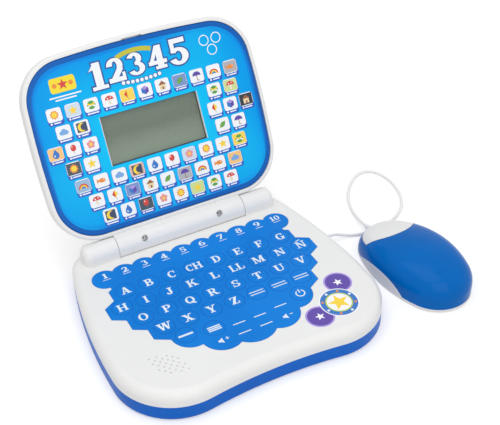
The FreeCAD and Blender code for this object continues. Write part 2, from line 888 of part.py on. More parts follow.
cell_level = size.shell_wall + size.contact_thickness + size.seat_clearance + size.cell_radius
positives = []
negatives = []
for index in range(3):
    facing = 1 if index % 2 == 0 else -1
    y = size.bay_y + size.cell_pitch * (index - 1)
    body_start = -(size.cell_length + size.cell_nub_length) / 2
    nub_start = body_start + size.cell_length
    if facing < 0:
        body_start, nub_start = -nub_start, -(nub_start + size.cell_nub_length)
    barrel = primitive(
        "Cylinder", (body_start, y, cell_level), TO_X,
        Radius=size.cell_radius, Height=size.cell_length,
    )
    nub = primitive(
        "Cylinder", (nub_start, y, cell_level), TO_X,
        Radius=size.cell_nub_radius, Height=size.cell_nub_length,
    )
    node(fuse(barrel, nub), f"battery_cell_{index + 1}")
    for side in SIDES:
        plate_x = (bay_length / 2 - size.contact_thickness / 2) * side
        plate = block(
            (plate_x, y), cell_level - size.contact_size / 2,
            size.contact_thickness, size.contact_size, size.contact_size,
        )
        bump_start = bay_length / 2 - size.contact_thickness - size.contact_bump
        if side < 0:
            bump_start = -(bump_start + size.contact_bump)
        bump = primitive(
            "Cylinder", (bump_start, y, cell_level), TO_X,
            Radius=size.cell_nub_radius, Height=size.contact_bump,
        )
        (positives if side == facing else negatives).append(fuse(plate, bump))
node(group(positives), "battery_positive_contacts")
node(group(negatives), "battery_negative_contacts")


# Main board, its chip and the socket that takes the keypad's tail

board = block(
    (size.board_x, size.board_y), size.board_level,
    size.board_length, size.board_depth, size.board_thickness,
)
board_holes = [
    rod(at, size.board_level, screw_hole_radius, size.board_thickness) for at in board_screws_at
]
node(cut(board, *board_holes), "main_board")
board_screw_length = size.board_thickness + size.board_level - size.shell_wall - size.seat_clearance
node(
    group([screw(*at, board_top, False, board_screw_length) for at in board_screws_at]),
    "main_board_screws",
)
chip_at = (size.board_x - size.board_length / 4, size.board_y)
node(rod(chip_at, board_top, size.chip_radius, size.chip_height), "sound_chip")
node(
    block(
        (size.tail_x, size.tail_y), board_top,
        size.socket_width, size.socket_depth, size.socket_height,
    ),
    "keypad_socket",
)


# Speaker: a pressed basket, a magnet behind it and a paper cone in front


def turned_piece(name, profile):
    """A piece of revolution about the speaker's axis, from radius and level pairs."""
    body = new_body(name)
    sketch = new_sketch(body, name + "_profile", "XZ_Plane")
    count = len(profile)
    points = [FreeCAD.Vector(radius.value, level.value, 0) for radius, level in profile]
    for index in range(count):
        sketch.addGeometry(Part.LineSegment(points[index], points[(index + 1) % count]), False)
    for index, (radius, level) in enumerate(profile):
        sketch.addConstraint(
            Sketcher.Constraint("Coincident", index, 2, (index + 1) % count, 1)
        )
        datum(sketch, "DistanceX", -1, 1, index, 1, dim(radius))
        datum(sketch, "DistanceY", -1, 1, index, 1, dim(level))
    turn = body.newObject("PartDesign::Revolution", name + "_turn")
    turn.Profile = sketch
    turn.ReferenceAxis = (sketch, ["V_Axis"])
    turn.Angle = 360
    place(body, (size.speaker_x, size.speaker_y, ZERO))
    return body


speaker_top = ceiling
speaker_back = speaker_top - size.speaker_depth
cone_seat = speaker_top - size.speaker_flange
flange_low = cone_seat - size.speaker_flange
basket_inner = size.speaker_radius - size.speaker_flange * 2
seat_inner = basket_inner - size.speaker_flange * 2
node(
    turned_piece("speaker_basket", (
        (ZERO, speaker_back),
        (size.magnet_radius, speaker_back),
        (basket_inner, flange_low),
        (size.speaker_radius, flange_low),
        (size.speaker_radius, speaker_top),
        (basket_inner, speaker_top),
        (basket_inner, cone_seat),
        (seat_inner, cone_seat),
        (size.magnet_radius - size.speaker_flange, speaker_back + size.speaker_flange),
        (ZERO, speaker_back + size.speaker_flange),
    )),
    "speaker_basket",
)
cone_rim = basket_inner - size.seat_clearance
cone_low = cone_seat - size.speaker_depth / 3
cone_top = cone_seat + size.cone_thickness
node(
    turned_piece("speaker_cone", (
        (ZERO, cone_low),
        (cone_rim / 3, cone_low),
        (seat_inner, cone_seat),
        (cone_rim, cone_seat),
        (cone_rim, cone_top),
        (seat_inner, cone_top),
        (cone_rim / 3, cone_low + size.cone_thickness),
        (ZERO, cone_low + size.cone_thickness),
    )),
    "speaker_cone",
)
node(
    rod(speaker_at, speaker_back - size.magnet_height, size.magnet_radius, size.magnet_height),
    "speaker_magnet",
)


# Hinge pins, case screws, cord relief and sticker

for side, name in zip(SIDES, ("hinge_pin_left", "hinge_pin_right")):
    start = boss_start - pin_reach if side > 0 else -(boss_start + pin_reach)
    pin = primitive(
        "Cylinder", (start, size.hinge_y, size.hinge_z), TO_X,
        Radius=size.pin_radius, Height=size.pin_length,
    )
    node(pin, name)

case_seat = size.parting_height - size.screw_seat
node(
    group([screw(*at, case_seat, True, size.screw_length) for at in case_screws_at]),
    "case_screws",
)

relief_at = (size.relief_y, size.relief_z)
side_wall_x = size.relief_tip_x - size.relief_tip_radius * 3
relief_flange = primitive(
    "Cylinder", (size.relief_inner_x, *relief_at), TO_X,
    Radius=size.relief_flange_radius, Height=size.relief_flange,
)
relief_sleeve = primitive(
    "Cylinder", (size.relief_inner_x, *relief_at), TO_X,
    Radius=size.relief_radius, Height=side_wall_x - size.relief_inner_x,
)
relief_taper = primitive(
    "Cone", (side_wall_x, *relief_at), TO_X,
    Radius1=size.relief_radius, Radius2=size.relief_tip_radius,
    Height=size.relief_tip_x - side_wall_x,
)
node(fuse(relief_flange, relief_sleeve, relief_taper), "cord_relief")

sticker = new_body("sticker")
sticker_discs = (
    (ZERO, ZERO, size.sticker_radius),
    (size.sticker_rear_ear_x, size.sticker_rear_ear_y, size.sticker_ear_radius),
    (size.sticker_front_ear_x, size.sticker_front_ear_y, size.sticker_ear_radius),
)
for x, y, radius in sticker_discs:
    add_rod(sticker, "Additive", (x, y), ZERO, radius, size.sticker_thickness)
place(sticker, (size.sticker_x, size.sticker_y, size.base_height))
node(sticker, "sticker")


# Lid: front frame with the hinge knuckle, back shell, blue panel, printed sheet

panel_face = size.lid_front - size.panel_recess
panel_back = panel_face - size.panel_thickness
split = -size.lid_split
back_inside = size.lid_wall - size.lid_back
lid_screws_at = [
    (size.lid_screw_x * side, y)
    for side in SIDES
    for y in (size.lid_screw_low, size.lid_screw_high)
]
hinge_screws_at = [(size.hinge_screw_x * side, size.hinge_screw_y) for side in SIDES]
neck_top = size.lid_bottom + size.lid_wall * 2


def knuckle(body, low, high, neck_low, neck_high):
    """The barrel between two levels of the lid's thickness, with its neck."""
    feature(
        body, "AdditiveCylinder", (-size.knuckle_length / 2, ZERO, ZERO), TO_X,
        Radius=size.barrel_radius, Height=size.knuckle_length,
    )
    reach = size.barrel_radius * 2
    for cut_low, cut_high in ((-reach, low), (high, reach)):
        add_block(
            body, "Subtractive", (ZERO, ZERO), cut_low, size.knuckle_length, reach,
            cut_high - cut_low,
        )
    add_block(
        body, "Additive", (ZERO, neck_top / 2), neck_low, size.knuckle_length, neck_top,
        neck_high - neck_low,
    )


def hinge_bores(body):
    """Running bores for the two pins, one in each end of the knuckle."""
    depth = pin_reach + size.hinge_gap + size.seat_clearance
    for side in SIDES:
        start = size.knuckle_length / 2 - depth if side > 0 else -size.knuckle_length / 2
        feature(
            body, "SubtractiveCylinder", (start, ZERO, ZERO), TO_X,
            Radius=pin_hole_radius, Height=depth,
        )


frame = new_body("lid_front_frame")
add_outline(frame, "Pad", lid_outline, 0, split, size.lid_front + size.lid_split)
round_level(frame, size.lid_front, size.lid_front_edge_radius)
knuckle(frame, split, size.barrel_radius, split, size.neck_front)
panel_seat = size.rim_width
add_outline(frame, "Pocket", lid_outline, panel_seat, size.lid_front, size.lid_front - panel_back)
add_outline(
    frame, "Pocket", lid_outline, panel_seat + size.frame_ledge, size.lid_front,
    size.lid_front + size.lid_split,
)
hinge_bores(frame)
for at in hinge_screws_at:
    add_rod(frame, "Subtractive", at, split, screw_hole_radius, size.barrel_radius + size.lid_split)
    add_rod(
        frame, "Subtractive", at, size.hinge_screw_seat, size.hinge_screw_hole_radius + size.seat_clearance,
        size.barrel_radius,
    )
for at in lid_screws_at:
    add_rod(frame, "Subtractive", at, split, screw_hole_radius, panel_back + size.lid_split)
add_block(
    frame, "Subtractive", (ZERO, size.lid_top - size.notch_inset), size.lid_front - size.notch_depth,
    size.notch_length, size.notch_width, size.notch_depth,
)
node(on_lid(frame), "lid_front_frame")

back = new_body("lid_back_shell")
add_outline(back, "Pad", lid_outline, 0, -size.lid_back, size.lid_back - size.lid_split)
round_level(back, -size.lid_back, size.lid_back_edge_radius)
add_outline(back, "Pocket", lid_outline, size.lid_wall, split, -back_inside - size.lid_split)
round_level(back, back_inside, size.lid_back_edge_radius - size.lid_wall)
knuckle(back, -size.barrel_radius, split, -size.barrel_radius, split)
lid_seat = split - size.screw_seat
for at in lid_screws_at:
    add_rod(back, "Additive", at, -size.lid_back, size.screw_boss_radius, size.lid_back - size.lid_split)
    add_rod(
        back, "Subtractive", at, -size.lid_back, size.screw_head_radius + size.seat_clearance,
        size.lid_back - size.lid_split - size.screw_seat,
    )
    add_rod(back, "Subtractive", at, lid_seat, screw_hole_radius, size.screw_seat)
hinge_bores(back)
hinge_screw_depth = size.screw_length - size.hinge_screw_seat - size.lid_split + size.seat_clearance
for at in hinge_screws_at:
    add_rod(back, "Subtractive", at, split - hinge_screw_depth, screw_hole_radius, hinge_screw_depth)
node(on_lid(back), "lid_back_shell")

lid_screw_length = size.screw_seat + panel_back + size.lid_split - size.seat_clearance
node(
    on_lid(group([screw(*at, lid_seat, True, lid_screw_length) for at in lid_screws_at])),
    "lid_screws",
)
hinge_screws = []
for at in hinge_screws_at:
    head = rod(at, size.hinge_screw_seat, size.hinge_screw_hole_radius, size.screw_head_height)
    shank = rod(at, size.hinge_screw_seat - size.screw_length, size.screw_shank_radius, size.screw_length)
    hinge_screws.append(fuse(head, shank))
node(on_lid(group(hinge_screws)), "hinge_screws")

display_at = (ZERO, size.display_y)
panel_inset = panel_seat + size.seat_clearance
sheet_inset = panel_inset + size.graphic_margin
sheet_low = panel_face - size.graphic_thickness
panel = new_body("lid_panel")
add_outline(panel, "Pad", lid_outline, panel_inset, panel_back, size.panel_thickness)
round_level(panel, panel_face, size.panel_edge_radius)
add_outline(
    panel, "Pocket", lid_outline, sheet_inset - size.seat_clearance, panel_face,
    size.graphic_thickness,
)
board_width = size.display_width + size.display_board_lap * 2
board_height = size.display_height + size.display_board_lap * 2
display_screws_at = [
    (
        (board_width / 2 - size.display_screw_inset) * along,
        size.display_y + (board_height / 2 - size.display_screw_inset) * across,
    )
    for along in SIDES
    for across in SIDES
]
window_low = panel_back - size.window_thickness
glass_low = window_low - size.glass_thickness
display_board_top = glass_low - size.strip_height
for at in display_screws_at:
    add_rod(
        panel, "Additive", at, display_board_top, size.board_boss_radius,
        panel_back - display_board_top,
    )
    add_rod(
        panel, "Subtractive", at, display_board_top, screw_hole_radius,
        panel_back - display_board_top,
    )
add_block(
    panel, "Subtractive", display_at, panel_back, size.display_width, size.display_height,
    size.panel_thickness,
)
node(on_lid(panel), "lid_panel")

graphic = new_body("lid_graphic_sheet")
add_outline(graphic, "Pad", lid_outline, sheet_inset, sheet_low, size.graphic_thickness)
add_block(
    graphic, "Subtractive", display_at, sheet_low, size.display_width, size.display_height,
    size.graphic_thickness,
)
node(on_lid(graphic), "lid_graphic_sheet")


# Display: window, liquid-crystal glass, reflector, rubber contact strip and driver board

window = block(
    display_at, window_low, size.display_width + size.window_lap * 2,
    size.display_height + size.window_lap * 2, size.window_thickness,
)
node(on_lid(group([window])), "display_window")
glass_width = size.display_width + size.glass_lap * 2
glass_height = size.display_height + size.glass_lap * 2
glass = block(display_at, glass_low, glass_width, glass_height, size.glass_thickness)
node(on_lid(group([glass])), "display_glass")
reflector = block(
    display_at, glass_low - size.reflector_thickness, size.display_width, size.display_height,
    size.reflector_thickness,
)
node(on_lid(group([reflector])), "display_reflector")
strip_at = (ZERO, size.display_y + glass_height / 2 - size.strip_width / 2)
contact_strip = block(
    strip_at, display_board_top, glass_width - size.strip_width * 2, size.strip_width,
    size.strip_height,
)
node(on_lid(group([contact_strip])), "display_contact_strip")
driver = block(
    display_at, display_board_top - size.board_thickness, board_width, board_height,
    size.board_thickness,
)
driver_holes = [
    rod(at, display_board_top - size.board_thickness, screw_hole_radius, size.board_thickness)
    for at in display_screws_at
]
node(on_lid(cut(driver, *driver_holes)), "display_board")
driver_back = display_board_top - size.board_thickness
driver_screw_length = size.board_thickness + panel_back - display_board_top - size.seat_clearance
node(
    on_lid(group([screw(*at, driver_back, True, driver_screw_length) for at in display_screws_at])),
    "display_board_screws",
)


# Mouse: a crowned egg-shaped form, split into base, cover and one wide button


def mouse_prism(name, inset, low):
    """An upright body on the mouse's plan, moved inwards by an inset."""
    body = new_body(name)
    sketch = new_sketch(body, "MousePlan", level=low)
    rear = (0.0, size.mouse_rear_y.value)
    nose = (0.0, size.mouse_nose_y.value)
    rear_arc = size.mouse_rear_radius - inset
    nose_arc = size.mouse_nose_radius - inset
    side_arc = size.mouse_side_radius - inset
    side = side_centre(
        nose, size.mouse_side_radius.value - size.mouse_nose_radius.value,
        rear, size.mouse_side_radius.value - size.mouse_rear_radius.value,
    )
    rear_point = towards(rear, side, -rear_arc.value)
    nose_point = towards(nose, side, -nose_arc.value)

    def left(point):
        return (-point[0], point[1])

    for centre, radius, start, stop in (
        (nose, nose_arc, nose_point, left(nose_point)),
        (left(side), side_arc, left(nose_point), left(rear_point)),
        (rear, rear_arc, left(rear_point), rear_point),
        (side, side_arc, rear_point, nose_point),
    ):
        sketch.addGeometry(arc_between(centre, radius.value, start, stop), False)
    for index in range(4):
        sketch.addConstraint(Sketcher.Constraint("Tangent", index, 2, (index + 1) % 4, 1))
    centre_and_radius(sketch, 0, ZERO, size.mouse_nose_y, nose_arc)
    centre_and_radius(sketch, 2, ZERO, size.mouse_rear_y, rear_arc)
    datum(sketch, "Radius", 1, side_arc)
    datum(sketch, "Radius", 3, side_arc)
    extrude(body, "Pad", sketch, size.mouse_height)
    return body


def mouse_form(inset):
    """The mouse's outer form, moved inwards by an inset, standing on its glides."""
    inset = dim(inset)
    body = mouse_prism("mouse_form", inset, size.glide_thickness + inset)
    crown = new_sketch(body, "Crown", "YZ_Plane")
    radius = size.crown_radius - inset
    centre_y = size.crown_y
    centre_z = size.mouse_height - size.crown_radius
    drop = (radius * radius - size.crown_reach * size.crown_reach).root()
    roof = size.mouse_height * 2
    low_left = (centre_y.value - size.crown_reach.value, centre_z.value + drop.value)
    low_right = (centre_y.value + size.crown_reach.value, centre_z.value + drop.value)
    centre = (centre_y.value, centre_z.value)
    crown.addGeometry(arc_between(centre, radius.value, low_right, low_left), False)
    corners = (low_left, (low_left[0], roof.value), (low_right[0], roof.value), low_right)
    vectors = [FreeCAD.Vector(*corner, 0) for corner in corners]
    for first, second in zip(vectors, vectors[1:]):
        crown.addGeometry(Part.LineSegment(first, second), False)
    for join in ((0, 2, 1, 1), (1, 2, 2, 1), (2, 2, 3, 1), (3, 2, 0, 1)):
        crown.addConstraint(Sketcher.Constraint("Coincident", *join))
    crown.addConstraint(Sketcher.Constraint("Vertical", 1))
    crown.addConstraint(Sketcher.Constraint("Horizontal", 2))
    crown.addConstraint(Sketcher.Constraint("Vertical", 3))
    centre_and_radius(crown, 0, centre_y, centre_z, radius)
    datum(crown, "DistanceX", -1, 1, 1, 1, centre_y - size.crown_reach)
    datum(crown, "DistanceX", -1, 1, 3, 1, centre_y + size.crown_reach)
    datum(crown, "DistanceY", -1, 1, 2, 1, roof)
    axis_ends = [
        FreeCAD.Vector(end[0], -size.crown_axis_drop.value, 0) for end in (low_left, low_right)
    ]
    axis = crown.addGeometry(Part.LineSegment(*axis_ends), True)
    crown.addConstraint(Sketcher.Constraint("Horizontal", axis))
    datum(crown, "DistanceX", -1, 1, axis, 1, centre_y - size.crown_reach)
    datum(crown, "DistanceX", -1, 1, axis, 2, centre_y + size.crown_reach)
    datum(crown, "DistanceY", -1, 1, axis, 1, -size.crown_axis_drop)
    groove = body.newObject("PartDesign::Groove", "CrownCut")
    groove.Profile = crown
    groove.ReferenceAxis = (crown, ["Axis0"])
    groove.Angle = 360
    groove.Midplane = True
    doc.recompute()
    rim = []
    for index, edge in enumerate(groove.Shape.Edges, start=1):
        box = edge.BoundBox
        floor = size.glide_thickness.value + inset.value
        if box.ZMin > floor + 1 and box.XLength + box.YLength > 0.001:
            rim.append(f"Edge{index}")
    fillet = body.newObject("PartDesign::Fillet", "CrownEdge")
    fillet.Base = (groove, rim)
    bind(fillet, Radius=size.mouse_edge_radius - inset)
    return body


mouse_outer = mouse_form(0)
mouse_inner = mouse_form(size.mouse_wall)
mouse_shell = cut(mouse_outer, mouse_inner)
mouse_floor = size.glide_thickness + size.mouse_wall


def parting_half(radius, side):
    """What lies under the parting line, in front of its highest point or behind it."""
    roll = primitive(
        "Cylinder",
        (-size.mouse_side_radius, size.mouse_parting_y, size.mouse_parting_top - radius), TO_X,
        Radius=radius, Height=size.mouse_side_radius * 2,
    )
    half = block(
        (ZERO, size.mouse_parting_y + radius / 2 * side), ZERO,
        size.mouse_side_radius * 2, radius, size.mouse_parting_top,
    )
    return common(roll, half)


parting_tool = fuse(
    block((ZERO, ZERO), ZERO, size.mouse_side_radius * 2, size.mouse_side_radius * 2, mouse_floor),
    parting_half(size.mouse_parting_front_radius, 1),
    parting_half(size.mouse_parting_rear_radius, -1),
)
relief_hole = primitive(
    "Cylinder", (ZERO, size.mouse_relief_inner_y, size.mouse_relief_z), TO_Y,
    Radius=size.mouse_relief_radius + size.running_clearance,
    Height=size.mouse_relief_tip_y - size.mouse_relief_inner_y,
)
board_posts = [
    rod(
        (size.mouse_board_width / 3 * side, size.mouse_board_y),
        size.glide_thickness + size.mouse_wall / 2,
        size.screw_shank_radius * 2,
        size.mouse_board_level - size.glide_thickness - size.mouse_wall / 2,
    )
    for side in SIDES
]
screw_post = rod(
    (ZERO, size.mouse_screw_y), size.glide_thickness, size.screw_boss_radius,
    size.mouse_boss_level - size.glide_thickness,
)
screw_well = rod(
    (ZERO, size.mouse_screw_y), ZERO, size.screw_head_radius + size.seat_clearance,
    size.mouse_boss_level - size.screw_seat,
)
screw_bore = rod((ZERO, size.mouse_screw_y), ZERO, screw_hole_radius, size.mouse_boss_level)
base_skin = common(mouse_shell, parting_tool)
node(
    on_mouse(cut(fuse(base_skin, screw_post, *board_posts), screw_well, screw_bore, relief_hole)),
    "mouse_base",
)



def button_outline(low, gap):
    """What lies inside the button's outline, an arc across the mouse and a band round its nose."""
    arc = rod((ZERO, size.button_arc_y), low, size.button_arc_radius + gap, size.mouse_height)
    return common(mouse_prism("button_plan", size.button_inset - gap, low), arc)


button_tool = button_outline(size.button_bottom, ZERO)
button_room = button_outline(
    size.button_bottom - size.button_travel - size.button_gap, size.button_gap
)
cover_post = common(
    mouse_outer,
    rod((ZERO, size.mouse_screw_y), size.mouse_boss_level, size.screw_boss_radius, size.mouse_height),
)
cover_bore = rod(
    (ZERO, size.mouse_screw_y), size.mouse_boss_level, screw_hole_radius,
    size.screw_length - size.screw_seat + size.seat_clearance,
)
cover_skin = cut(mouse_shell, parting_tool, button_room)
node(on_mouse(cut(fuse(cover_skin, cover_post), cover_bore, relief_hole)), "mouse_cover")

mouse_board_top = size.mouse_board_level + size.board_thickness
plunger_low = mouse_board_top + size.switch_height - size.plunger_height / 2
stem_low = plunger_low + size.plunger_height
stem = common(
    mouse_outer, rod((ZERO, size.stem_y), stem_low, size.stem_radius, size.mouse_height)
)
node(on_mouse(fuse(common(mouse_shell, button_tool), stem)), "mouse_button")

mouse_board = block(
    (ZERO, size.mouse_board_y), size.mouse_board_level,
    size.mouse_board_width, size.mouse_board_depth, size.board_thickness,
)
node(on_mouse(group([mouse_board])), "mouse_board")
switch_body = block(
    (ZERO, size.stem_y), mouse_board_top, size.switch_size, size.switch_size, size.switch_height
)
plunger_depth = size.plunger_height / 2 + size.button_travel + size.button_gap
plunger_hole = rod(
    (ZERO, size.stem_y), mouse_board_top + size.switch_height - plunger_depth,
    size.plunger_radius + size.running_clearance, plunger_depth,
)
node(on_mouse(cut(switch_body, plunger_hole)), "mouse_switch")
plunger = rod((ZERO, size.stem_y), plunger_low, size.plunger_radius, size.plunger_height)
node(on_mouse(group([plunger])), "switch_plunger")
mouse_screw = screw(
    ZERO, size.mouse_screw_y, size.mouse_boss_level - size.screw_seat, True, size.screw_length
)
node(on_mouse(group([mouse_screw])), "mouse_screw")
glides = [
    block((ZERO, y), ZERO, size.glide_length, size.glide_width, size.glide_thickness)
    for y in (size.glide_y, size.mouse_rear_y - size.mouse_rear_radius / 2)
]
node(on_mouse(group(glides)), "mouse_glides")
relief_step = size.mouse_relief_tip_y - size.mouse_relief_radius * 2
mouse_sleeve = primitive(
    "Cylinder", (ZERO, size.mouse_relief_inner_y, size.mouse_relief_z), TO_Y,
    Radius=size.mouse_relief_radius, Height=relief_step - size.mouse_relief_inner_y,
)
mouse_taper = primitive(
    "Cone", (ZERO, relief_step, size.mouse_relief_z), TO_Y,
    Radius1=size.mouse_relief_radius, Radius2=size.relief_tip_radius,
    Height=size.mouse_relief_tip_y - relief_step,
)
node(on_mouse(fuse(mouse_sleeve, mouse_taper)), "mouse_cord_relief")


# Mouse cord: straight runs joined by tangent arcs, lying on the desk in one loose loop


def cord_tube(points, diameter):
    """A round cord along the points, each corner rounded as far as its runs allow."""
    edges = []
    last = points[0]
    for before, corner, after in zip(points, points[1:], points[2:]):
        into = (corner - before).normalize()
        out = (after - corner).normalize()
        half_turn = into.getAngle(out) / 2
        reach = 0.45 * min((corner - before).Length, (after - corner).Length)
        radius = reach / math.tan(half_turn)
        print(f"cord radius {radius:.1f} mm, turn {math.degrees(half_turn) * 2:.0f} degrees")
        start = corner - into * reach
        stop = corner + out * reach
        inward = (out - into).normalize()
        middle = corner + inward * (radius / math.cos(half_turn) - radius)
        edges.append(Part.LineSegment(last, start).toShape())
        edges.append(Part.Arc(start, middle, stop).toShape())
        last = stop
    edges.append(Part.LineSegment(last, points[-1]).toShape())
    path = Part.Wire(edges)
    heading = points[1] - points[0]
    ring = Part.Wire(Part.Circle(points[0], heading, diameter / 2).toShape())
    tube = path.makePipeShell([ring], True, True)
    section = math.pi * diameter ** 2 / 4
    print(f"cord length {path.Length:.1f} mm, volume ratio {tube.Volume / section / path.Length:.4f}")
    return tube


doc.recompute()
relief_tip = FreeCAD.Vector(0, size.mouse_relief_tip_y.value, size.mouse_relief_z.value)
yaw = FreeCAD.Rotation(Z_AXIS, size.mouse_turn.value)
mouse_origin = FreeCAD.Vector(size.mouse_x.value, size.mouse_y.value, 0)
mouse_end = yaw.multVec(relief_tip) + mouse_origin
mouse_lead = mouse_end + yaw.multVec(FreeCAD.Vector(0, size.cord_lead.value, 0))
laptop_end = FreeCAD.Vector(size.relief_tip_x.value, size.relief_y.value, size.relief_z.value)
laptop_lead = laptop_end + FreeCAD.Vector(size.cord_lead.value, 0, 0)
CORD_POINTS = (
    (119.2, 27.6, 3.2),
    (126.8, 25.8, 1.3),
    (134.0, 23.4, 1.3),
    (141.0, 22.8, 1.3),
    (150.0, 22.6, 1.3),
    (160.0, 24.2, 1.3),
    (169.0, 27.8, 1.3),
    (178.6, 34.0, 1.3),
    (185.8, 42.0, 1.3),
    (190.8, 52.0, 1.3),
    (193.6, 64.0, 1.3),
    (194.0, 76.0, 1.3),
    (191.0, 87.2, 1.3),
    (184.6, 93.0, 1.3),
    (175.6, 93.2, 1.3),
    (165.8, 86.8, 1.3),
    (156.2, 77.2, 1.3),
    (149.4, 66.8, 1.3),
    (145.0, 55.6, 1.3),
    (142.2, 45.2, 2.6),
)
resting = [FreeCAD.Vector(*point) for point in CORD_POINTS]
cord_points = [laptop_end, laptop_lead, *resting, mouse_lead, mouse_end]
cord = doc.addObject("Part::Feature", "mouse_cord")
cord.Shape = cord_tube(cord_points, size.cord_diameter.value)
node(cord, "mouse_cord")


# Check every object, then write each piece to its own file

doc.recompute()
failed = [thing.Label for thing in doc.Objects if {"Invalid", "Error"} & set(thing.State)]
failed += [piece.Label for piece in nodes if piece.Shape.isNull() or not piece.Shape.isValid()]
if failed:
    raise RuntimeError("These objects failed: " + ", ".join(failed))
os.makedirs("parts", exist_ok=True)
for piece in nodes:
    piece.Shape.exportStep(f"parts/{piece.Label}.step")
    print(f"{piece.Label}: {len(piece.Shape.Solids)} solids, {piece.Shape.Volume:.0f} cubic mm")
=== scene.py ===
"""Toy laptop computer with a corded mouse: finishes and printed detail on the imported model."""
import math
import bmesh
import bpy
from mathutils import Matrix, Vector, geometry


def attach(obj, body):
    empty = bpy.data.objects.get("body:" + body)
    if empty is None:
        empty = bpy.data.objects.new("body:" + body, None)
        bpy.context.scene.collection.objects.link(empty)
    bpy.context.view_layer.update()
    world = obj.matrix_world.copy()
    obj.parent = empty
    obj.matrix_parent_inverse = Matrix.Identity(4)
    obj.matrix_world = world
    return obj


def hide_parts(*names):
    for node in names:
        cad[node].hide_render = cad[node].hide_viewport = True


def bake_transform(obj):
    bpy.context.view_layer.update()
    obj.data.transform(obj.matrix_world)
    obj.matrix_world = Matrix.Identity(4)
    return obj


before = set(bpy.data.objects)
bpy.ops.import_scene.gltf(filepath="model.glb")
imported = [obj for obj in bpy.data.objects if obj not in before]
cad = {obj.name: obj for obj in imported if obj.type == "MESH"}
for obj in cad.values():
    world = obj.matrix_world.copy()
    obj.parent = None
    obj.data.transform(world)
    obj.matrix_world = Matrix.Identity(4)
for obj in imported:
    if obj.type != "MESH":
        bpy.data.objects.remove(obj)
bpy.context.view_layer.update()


# Lower shell and battery door
# The deep blue tub that the toy stands on, and the door over its cells. Injection-moulded ABS
# with a fine tool texture, screwed to the deck from below.

FLOW_MARKS, RUBBED_PATCHES, MARK_REACH = 28.0, 95.0, (0.3, 0.7)
PLASTIC_IOR = 1.5


def srgb(red, green, blue):
    """A colour as a screen shows it, from 0 to 255, as a linear colour."""
    linear = []
    for part in (red, green, blue):
        part /= 255
        linear.append(part / 12.92 if part <= 0.04045 else ((part + 0.055) / 1.055) ** 2.4)
    return (*linear, 1.0)


def feed(node, **inputs):
    """Set a node's sockets by name, each to a fixed value or to another node's output."""
    for name, value in inputs.items():
        socket = node.inputs[name.replace("_", " ")]
        if isinstance(value, bpy.types.NodeSocket):
            node.id_data.links.new(value, socket)
        else:
            socket.default_value = value


def node_adder(tree, family):
    """A function that adds a node of one family to a tree, set and wired."""
    def add(kind, settings=None, **inputs):
        node = tree.nodes.new(family + kind)
        for setting, value in (settings or {}).items():
            setattr(node, setting, value)
        feed(node, **inputs)
        return node

    return add


def new_material(name):
    """A node material, with its shader and its node adder."""
    material = bpy.data.materials.new(name)
    material.use_nodes = True
    tree = material.node_tree
    return material, tree.nodes["Principled BSDF"], node_adder(tree, "ShaderNode")


def place_on_piece(add):
    """Where a point lies on its piece, in metres."""
    return add("TexCoord").outputs["Object"]


def noise(add, scale, detail=2.0, roughness=0.5, where=None):
    """Random marks from 0 to 1, about so many to a metre."""
    if where is None:
        where = place_on_piece(add)
    return add("TexNoise", Vector=where, Scale=scale, Detail=detail, Roughness=roughness).outputs["Fac"]


def two_shades(add, factor, low, high, reach=(0.0, 1.0)):
    """A colour that goes from one shade to another while a factor crosses a reach."""
    ramp = add("ValToRGB", Fac=factor)
    for shade, position, colour in zip(ramp.color_ramp.elements, reach, (low, high)):
        shade.position, shade.color = position, colour
    return ramp.outputs["Color"]


def two_values(add, factor, low, high, reach=(0.0, 1.0)):
    """A number that goes from low to high while a factor crosses a reach."""
    start, stop = reach
    span = add("MapRange", Value=factor, From_Min=start, From_Max=stop, To_Min=low, To_Max=high)
    return span.outputs["Result"]


def grain_normal(add, size, height):
    """A fine tool texture, as a bump of a grain size and a height in metres."""
    grain = noise(add, 1 / size, 3.0, 0.55)
    return add("Bump", Height=grain, Strength=1.0, Distance=height).outputs["Normal"]


def moulded_plastic(name, colour, roughness, tint=0.05, grain=0.0007, height=0.000012, shine=0.5):
    """Coloured ABS, with slow flow marks in its colour, rubbed patches and a tool texture."""
    material, shader, add = new_material(name)
    dull = [part * (1 - tint) for part in colour[:3]] + [1]
    bright = [min(1, part * (1 + tint)) for part in colour[:3]] + [1]
    rubbed = noise(add, RUBBED_PATCHES, 4.0, 0.6)
    feed(
        shader, Base_Color=two_shades(add, noise(add, FLOW_MARKS), dull, bright, MARK_REACH),
        Roughness=two_values(add, rubbed, roughness - 0.04, roughness + 0.05, MARK_REACH),
        Normal=grain_normal(add, grain, height), IOR=PLASTIC_IOR, Specular_IOR_Level=shine,
    )
    return material


def dress(material, *names):
    """Give CAD nodes a finish."""
    for name in names:
        cad[name].data.materials.clear()
        cad[name].data.materials.append(material)


tub_blue = moulded_plastic("tub_blue_abs", srgb(6, 98, 196), 0.4, shine=0.15)
dress(tub_blue, "lower_shell", "battery_door")


# Upper shell
# The white keyboard deck with its hinge bosses and speaker holes. Injection-moulded ABS,
# a little warmer than the desk, with a satin face.

case_white = moulded_plastic("case_white_abs", srgb(231, 231, 230), 0.42, tint=0.012)
dress(case_white, "upper_shell")


# Cells and contacts
# Three dry cells with printed jackets lie under the door. Nickel-plated leaves, bent from
# strip and held at the two ends of the bay, touch them.

JACKET_BAND_X = 0.012


def math_node(add, operation, first, second=None):
    """One arithmetic node; each term is a socket or a number."""
    node = add("Math", {"operation": operation})
    for socket, term in zip(node.inputs, (first, second)):
        if isinstance(term, bpy.types.NodeSocket):
            node.id_data.links.new(term, socket)
        elif term is not None:
            socket.default_value = term
    return node.outputs["Value"]


